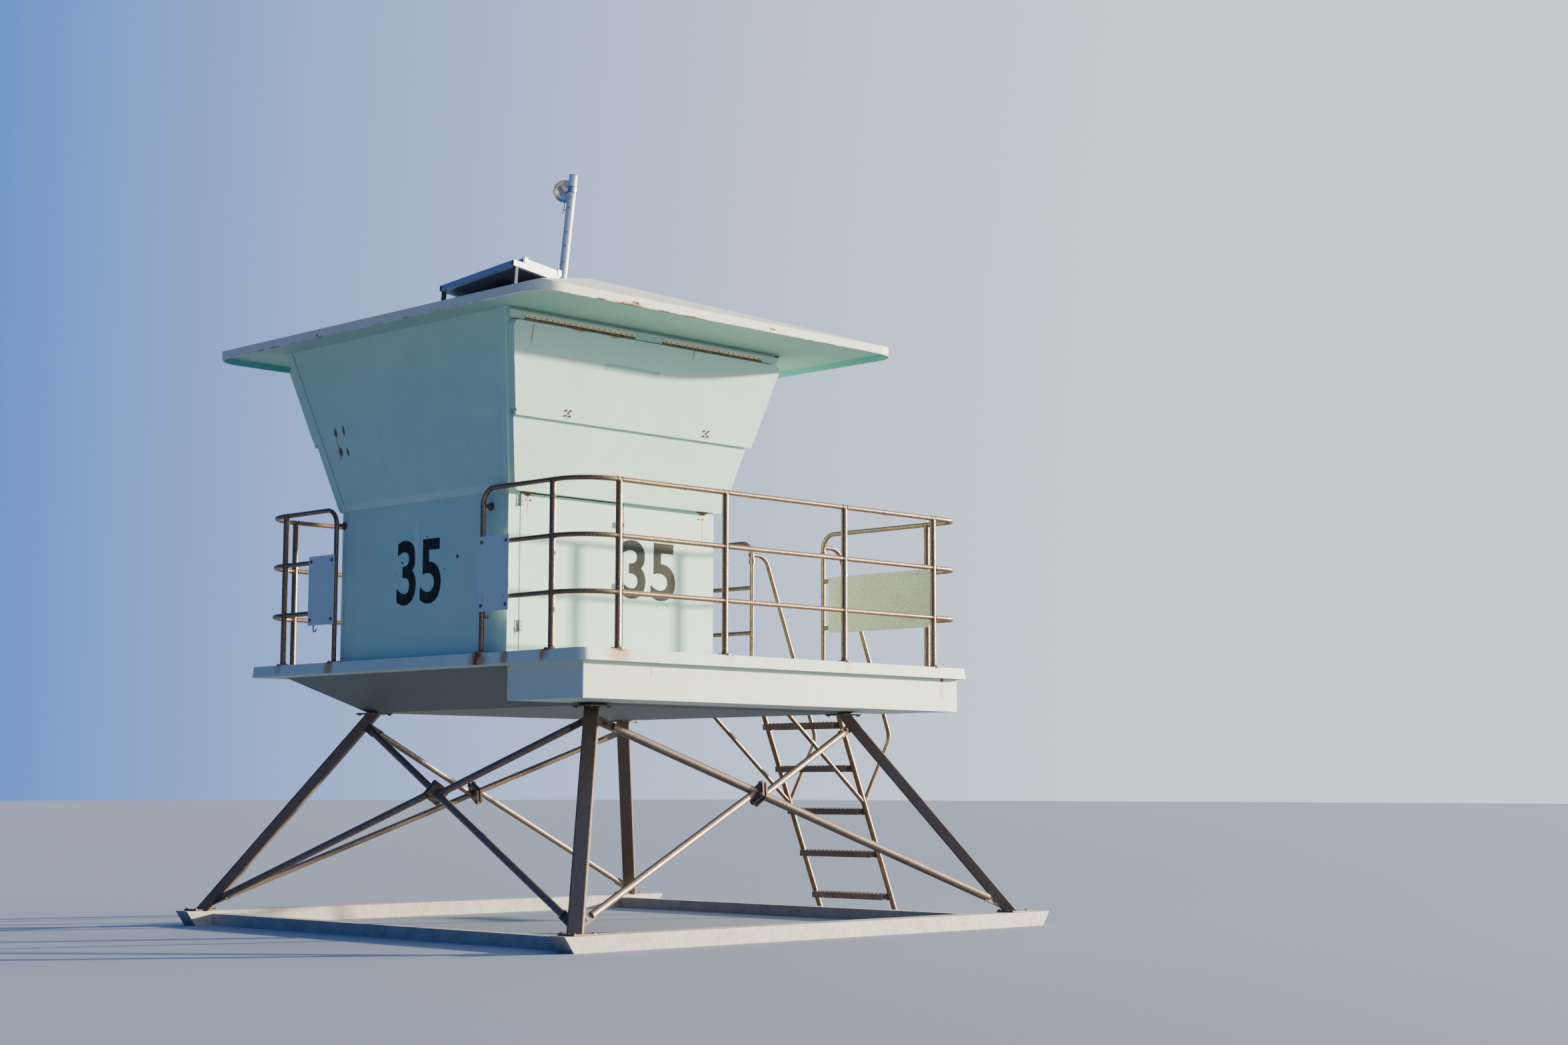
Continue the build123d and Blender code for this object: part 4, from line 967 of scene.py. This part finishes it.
# Ladder treads: raised teeth in rows, and angle clips at the ends

TREAD_LEVELS = (0.160, 0.489, 0.818, 1.147, 1.476)
LADDER_TOP_Y, LADDER_TOP_Z, LADDER_LEAN = 1.862, 1.804, 0.425

teeth, clips = [], []
for z in TREAD_LEVELS:
    y = LADDER_TOP_Y + (LADDER_TOP_Z - z) * LADDER_LEAN
    for row in (-0.048, -0.016, 0.016, 0.048):
        teeth += [(at(-0.352 + i * 0.044, y + row, z + 0.0015), Z) for i in range(17)]
    clips += [(at(side * 0.3745, y + 0.010, z - 0.022), X * side) for side in (-1, 1)]
tiles("tread_teeth", teeth, 0.0085, 0.0045, tread_metal)
plates("tread_clips", clips, (0.05, 0.050, 0.005), tread_metal)

# Braces: bolts through the plates at each crossing and through the pipes' flattened ends

PLATE_BOLT, PLATE_NUT = (0.011, 0.010, 0.016, 6), (0.011, 0.018, 0.016, 6)
TAB_BOLT = (0.012, 0.010, 0.019, 6)
BRACE_TOP_Z, BRACE_FOOT_Z = 1.422, 0.146
PLATE_BOLT_OFF, PLATE_FACE, TAB_BOLT_IN, TAB_FACE = 0.049, 0.0205, 0.105, 0.0048


def leg_lean(z):
    """How far a leg's middle is from the deck's middle at a height."""
    share = (LEG_TOP_Z - z) / (LEG_TOP_Z - LEG_FOOT_Z)
    return LEG_TOP_REACH + share * (LEG_FOOT_REACH - LEG_TOP_REACH)


def side_point(out_x, out_y, way, z):
    """The leg's middle at a height, on one end of a side."""
    lean = leg_lean(z)
    return at(out_x * lean - out_y * way * lean, out_y * lean + out_x * way * lean, z)


plate_bolts, plate_nuts, tab_bolts = [], [], []
for out_x, out_y in ((0, -1), (-1, 0), (1, 0)):
    main_top, other_top = (side_point(out_x, out_y, way, BRACE_TOP_Z) for way in (-1, 1))
    other_foot, main_foot = (side_point(out_x, out_y, way, BRACE_FOOT_Z) for way in (-1, 1))
    main_way = (main_foot - main_top).normalized()
    share = leg_lean(BRACE_TOP_Z) / (leg_lean(BRACE_TOP_Z) + leg_lean(BRACE_FOOT_Z))
    crossing = main_top.lerp(main_foot, share)
    face = (main_foot - main_top).cross(other_foot - other_top).normalized()
    across = main_way.cross(face)
    for u, v in product((-PLATE_BOLT_OFF, PLATE_BOLT_OFF), repeat=2):
        corner = crossing + face * u + across * v
        plate_bolts.append((corner + main_way * PLATE_FACE, main_way))
        plate_nuts.append((corner - main_way * PLATE_FACE, -main_way))
    outward = face if face.dot(Vector((out_x, out_y, 0))) > 0 else -face
    for high, low in ((main_top, main_foot), (other_top, other_foot)):
        for end, other in ((high, low), (low, high)):
            inward = (other - end).normalized() * TAB_BOLT_IN
            tab_bolts.append((end + inward + outward * TAB_FACE, outward))
fasten("brace_plate_bolts", plate_bolts, PLATE_BOLT)
fasten("brace_plate_nuts", plate_nuts, PLATE_NUT)
fasten("brace_end_bolts", tab_bolts, TAB_BOLT)

# Solar panel: cells under glass, a back sheet, a junction box, end clamps, dark plates in the rails' open
# ends and dark sleeves on their feet, both painted shade

PANEL_CORNER, PANEL_TILT, PANEL_ROLL = at(0.432, -1.600, 4.405), -7.7, -4.6  # turns in degrees
PANEL_MIDDLE_V, PANEL_RAIL_U = 0.245, 0.380
panel_turn = Matrix.Rotation(math.radians(PANEL_TILT), 3, "X") @ Matrix.Rotation(
    math.radians(PANEL_ROLL), 3, "Y"
)
panel_u, panel_v, panel_w = (panel_turn.col[i] for i in range(3))


def on_panel(u, v, w):
    """A place on the panel, facing up: along it, up its slope and above its underside."""
    return PANEL_CORNER + panel_u * u + panel_v * v + panel_w * w, panel_w, panel_v


def turned(place, facing, upward):
    """The same place with another facing."""
    return place[0], facing, upward


under_middle = turned(on_panel(0, PANEL_MIDDLE_V, -0.0006), -panel_w, panel_v)
under_box = turned(on_panel(0, 0.22, -0.012), -panel_w, panel_v)
columns = [-0.336 + i * 0.084 for i in range(9)]
cells = [on_panel(u, 0.135 + j * 0.0735, 0.0315) for u in columns for j in range(4)]
bars = [on_panel(u + d, PANEL_MIDDLE_V, 0.0320) for u in columns for d in (-0.02, 0.02)]
lugs = [on_panel(side * 0.387, v, 0.022) for side in (-1, 1) for v in (0.10, 0.39)]
ends = [turned(on_panel(side * PANEL_RAIL_U, -0.0006, -0.020), -panel_v, panel_w) for side in (-1, 1)]
plates("panel_glass", [on_panel(0, PANEL_MIDDLE_V, 0.0306)], (0.764, 0.304, 0.0012), cell_glass)
plates("panel_cells", cells, (0.080, 0.0695, 0.0006), cell_glass)
plates("panel_bars", bars, (0.0016, 0.290, 0.0003), aluminium)
plates("panel_back_sheet", [under_middle], (0.715, 0.318, 0.0016), back_sheet)
plates("panel_junction_box", [under_box], (0.12, 0.085, 0.022), dark_paint_and_shade)
plates("panel_end_clamps", lugs, (0.022, 0.030, 0.044), aluminium)
# Dark plates in the rails' open ends: painted shade of the channels' insides.
plates("panel_rail_end_shades", ends, (0.020, 0.028, 0.0012), dark_paint_and_shade)
# Dark sleeves round the rails' feet: painted shade under the panel.
for label, u, length in (("right", PANEL_RAIL_U, 0.150), ("left", -PANEL_RAIL_U, 0.088)):
    sleeve = [on_panel(u, 0.030, -0.0415 - length / 2)]
    plates(f"panel_foot_sleeve_{label}", sleeve, (0.0275, 0.0275, length), dark_paint_and_shade)

# Mast: cap, straps and pegs, and the forked stem under the dish

MAST_FOOT, MAST_WAY = at(0.082, -0.5661, 4.4745), Vector((0.0610, 0.0693, 0.9957)).normalized()
MAST_PEG = (0.005, 0.006, 0.006, 8)
DISH_LOW = at(0.0628, -0.5246, 5.148)

tiles("mast_cap", [(MAST_FOOT + MAST_WAY * 0.8605, MAST_WAY)], 0.0312, 0.004, fitting_metal)
straps = [(MAST_FOOT + MAST_WAY * up_mast, MAST_WAY) for up_mast in (0.735, 0.775)]
beads("mast_straps", straps, 0.0345, 0.0022, rusty_metal)
peg_side = Vector((0.66, -0.75, 0)).normalized()
peg_line = MAST_FOOT + peg_side * 0.0305
pegs = [(peg_line + MAST_WAY * up_mast, peg_side) for up_mast in (0.22, 0.34, 0.44, 0.62, 0.70)]
fasten("mast_pegs", pegs, MAST_PEG, rusty_metal)

stem_side = Vector((0.7127, 0.7015, 0))
stem = [DISH_LOW - Z * drop - stem_side * aside for drop, aside in ((0, 0), (0.030, 0.003), (0.062, 0.008))]
fork = [stem[-1], stem[-1] + Z * 0.010 + stem_side * 0.022]
tail = [stem[-1], stem[-1] - Z * 0.026 - stem_side * 0.010]
rods("dish_stem", [stem, fork, tail], 0.0035, fitting_metal)

# Lugs under the soffit

lugs = [(at(x, 0.45, 4.0060), -Z) for x in (1.22, -1.15)]
plates("soffit_lugs", lugs, (0.060, 0.030, 0.024), fitting_metal)

# Numbers on two walls


def number(name, digits, width, height, centre, right):
    """Painted upright digits lying on a wall."""
    curve = bpy.data.curves.new(name, "FONT")
    curve.body = digits
    curve.size = 1.0
    curve.offset = 0.019  # bolder than the font
    curve.extrude = 0.0004
    curve.resolution_u = 6
    mesh = baked(added(name + "_text", curve))
    low = [min(v.co[i] for v in mesh.vertices) for i in (0, 1)]
    high = [max(v.co[i] for v in mesh.vertices) for i in (0, 1)]
    outward = right.cross(Z)
    for v in mesh.vertices:
        across = ((v.co.x - low[0]) / (high[0] - low[0]) - 0.5) * width
        rise = ((v.co.y - low[1]) / (high[1] - low[1]) - 0.5) * height
        v.co = centre + right * across + Z * rise + outward * (v.co.z + 0.0008)
    closed = bmesh.new()
    closed.from_mesh(mesh)
    bmesh.ops.remove_doubles(closed, verts=closed.verts, dist=0.000002)
    bmesh.ops.recalc_face_normals(closed, faces=closed.faces)
    closed.to_mesh(mesh)
    closed.free()
    piece = finished(name, mesh, number_paint)
    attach(piece, "tower")


number("number_right_wall", "35", 0.486, 0.400, at(CABIN_RIGHT, -0.486, 2.438), Y)
number("number_back_wall", "35", 0.487, 0.44, at(0.004, CABIN_BACK, 2.41), X)

# Floor, backdrop, light and camera

FLOOR_HALF = 200
floor_mesh = bpy.data.meshes.new("floor")
floor_corners = [(x * FLOOR_HALF, y * FLOOR_HALF, 0) for x, y in ((-1, -1), (1, -1), (1, 1), (-1, 1))]
floor_mesh.from_pydata(floor_corners, [], [(0, 1, 2, 3)])
floor = added("floor", floor_mesh)
floor_look, _, floor_surface, _ = blank("floor_look")
floor_surface["Base Color"].default_value = (0.215, 0.26, 0.325, 1)
floor_surface["Roughness"].default_value = 0.9
floor_mesh.materials.append(floor_look)

# The backdrop goes from deep blue, away from the light, to pale and warm towards it.
PALE_SKY = (1.05, 1.17, 1.25)
BACKDROP = [
    (0.10, (0.018, 0.050, 0.25)), (0.50, (0.085, 0.29, 0.92)), (0.74, PALE_SKY), (0.86, PALE_SKY),
    (1.0, (4.2, 4.0, 3.3)),
]
TOWARDS_LIGHT = (0.438, 0.899, 0.0)
world = bpy.data.worlds.new("studio")
bpy.context.scene.world = world
world.use_nodes = True
world_tree = world.node_tree
backdrop = world_tree.nodes["Background"].inputs
looking = world_tree.nodes.new("ShaderNodeTexCoord").outputs["Generated"]
facing_light = vector_node(world_tree, "DOT_PRODUCT", looking, TOWARDS_LIGHT).outputs["Value"]
share = math_node(world_tree, "MULTIPLY_ADD", facing_light, 0.5, 0.5)
world_tree.links.new(ramp(world_tree, share, BACKDROP), backdrop["Color"])
backdrop["Strength"].default_value = 1.0

# A low warm light; its azimuth is counted as a view's is
SUN_AZIMUTH, SUN_ELEVATION = math.radians(154), math.radians(9.6)
lamp = bpy.data.lights.new("key", "SUN")
lamp.energy, lamp.color, lamp.angle = 14.8, (1.0, 0.88, 0.69), math.radians(1.5)
key = added("key", lamp)
level = math.cos(SUN_ELEVATION)
source = Vector(
    (math.sin(SUN_AZIMUTH) * level, -math.cos(SUN_AZIMUTH) * level, math.sin(SUN_ELEVATION))
)
key.rotation_mode = "QUATERNION"
key.rotation_quaternion = source.to_track_quat("Z", "Y")

# The camera as it was fitted to the photograph
PHOTO_WIDTH, FOCAL_LENGTH = 2352, 3579.1  # pixels
SENSOR_WIDTH = 36
TURN, PITCH, ROLL = math.radians(44.555), math.radians(6.446), math.radians(0.108)
camera_data = bpy.data.cameras.new("camera")
camera_data.sensor_width = SENSOR_WIDTH
camera_data.lens = FOCAL_LENGTH / PHOTO_WIDTH * SENSOR_WIDTH
camera_data.clip_end = 500
camera = added("camera", camera_data)
forward = Vector((-math.sin(TURN) * math.cos(PITCH), math.cos(TURN) * math.cos(PITCH), math.sin(PITCH)))
side = forward.cross(Z).normalized()
up = side.cross(forward)
rolled_side = side * math.cos(ROLL) + up * math.sin(ROLL)
rolled_up = up * math.cos(ROLL) - side * math.sin(ROLL)
camera.matrix_world = Matrix((rolled_side, rolled_up, -forward)).transposed().to_4x4()
camera.location = at(12.935, -11.352, 0.946)
bpy.context.scene.camera = camera

bpy.context.view_layer.update()
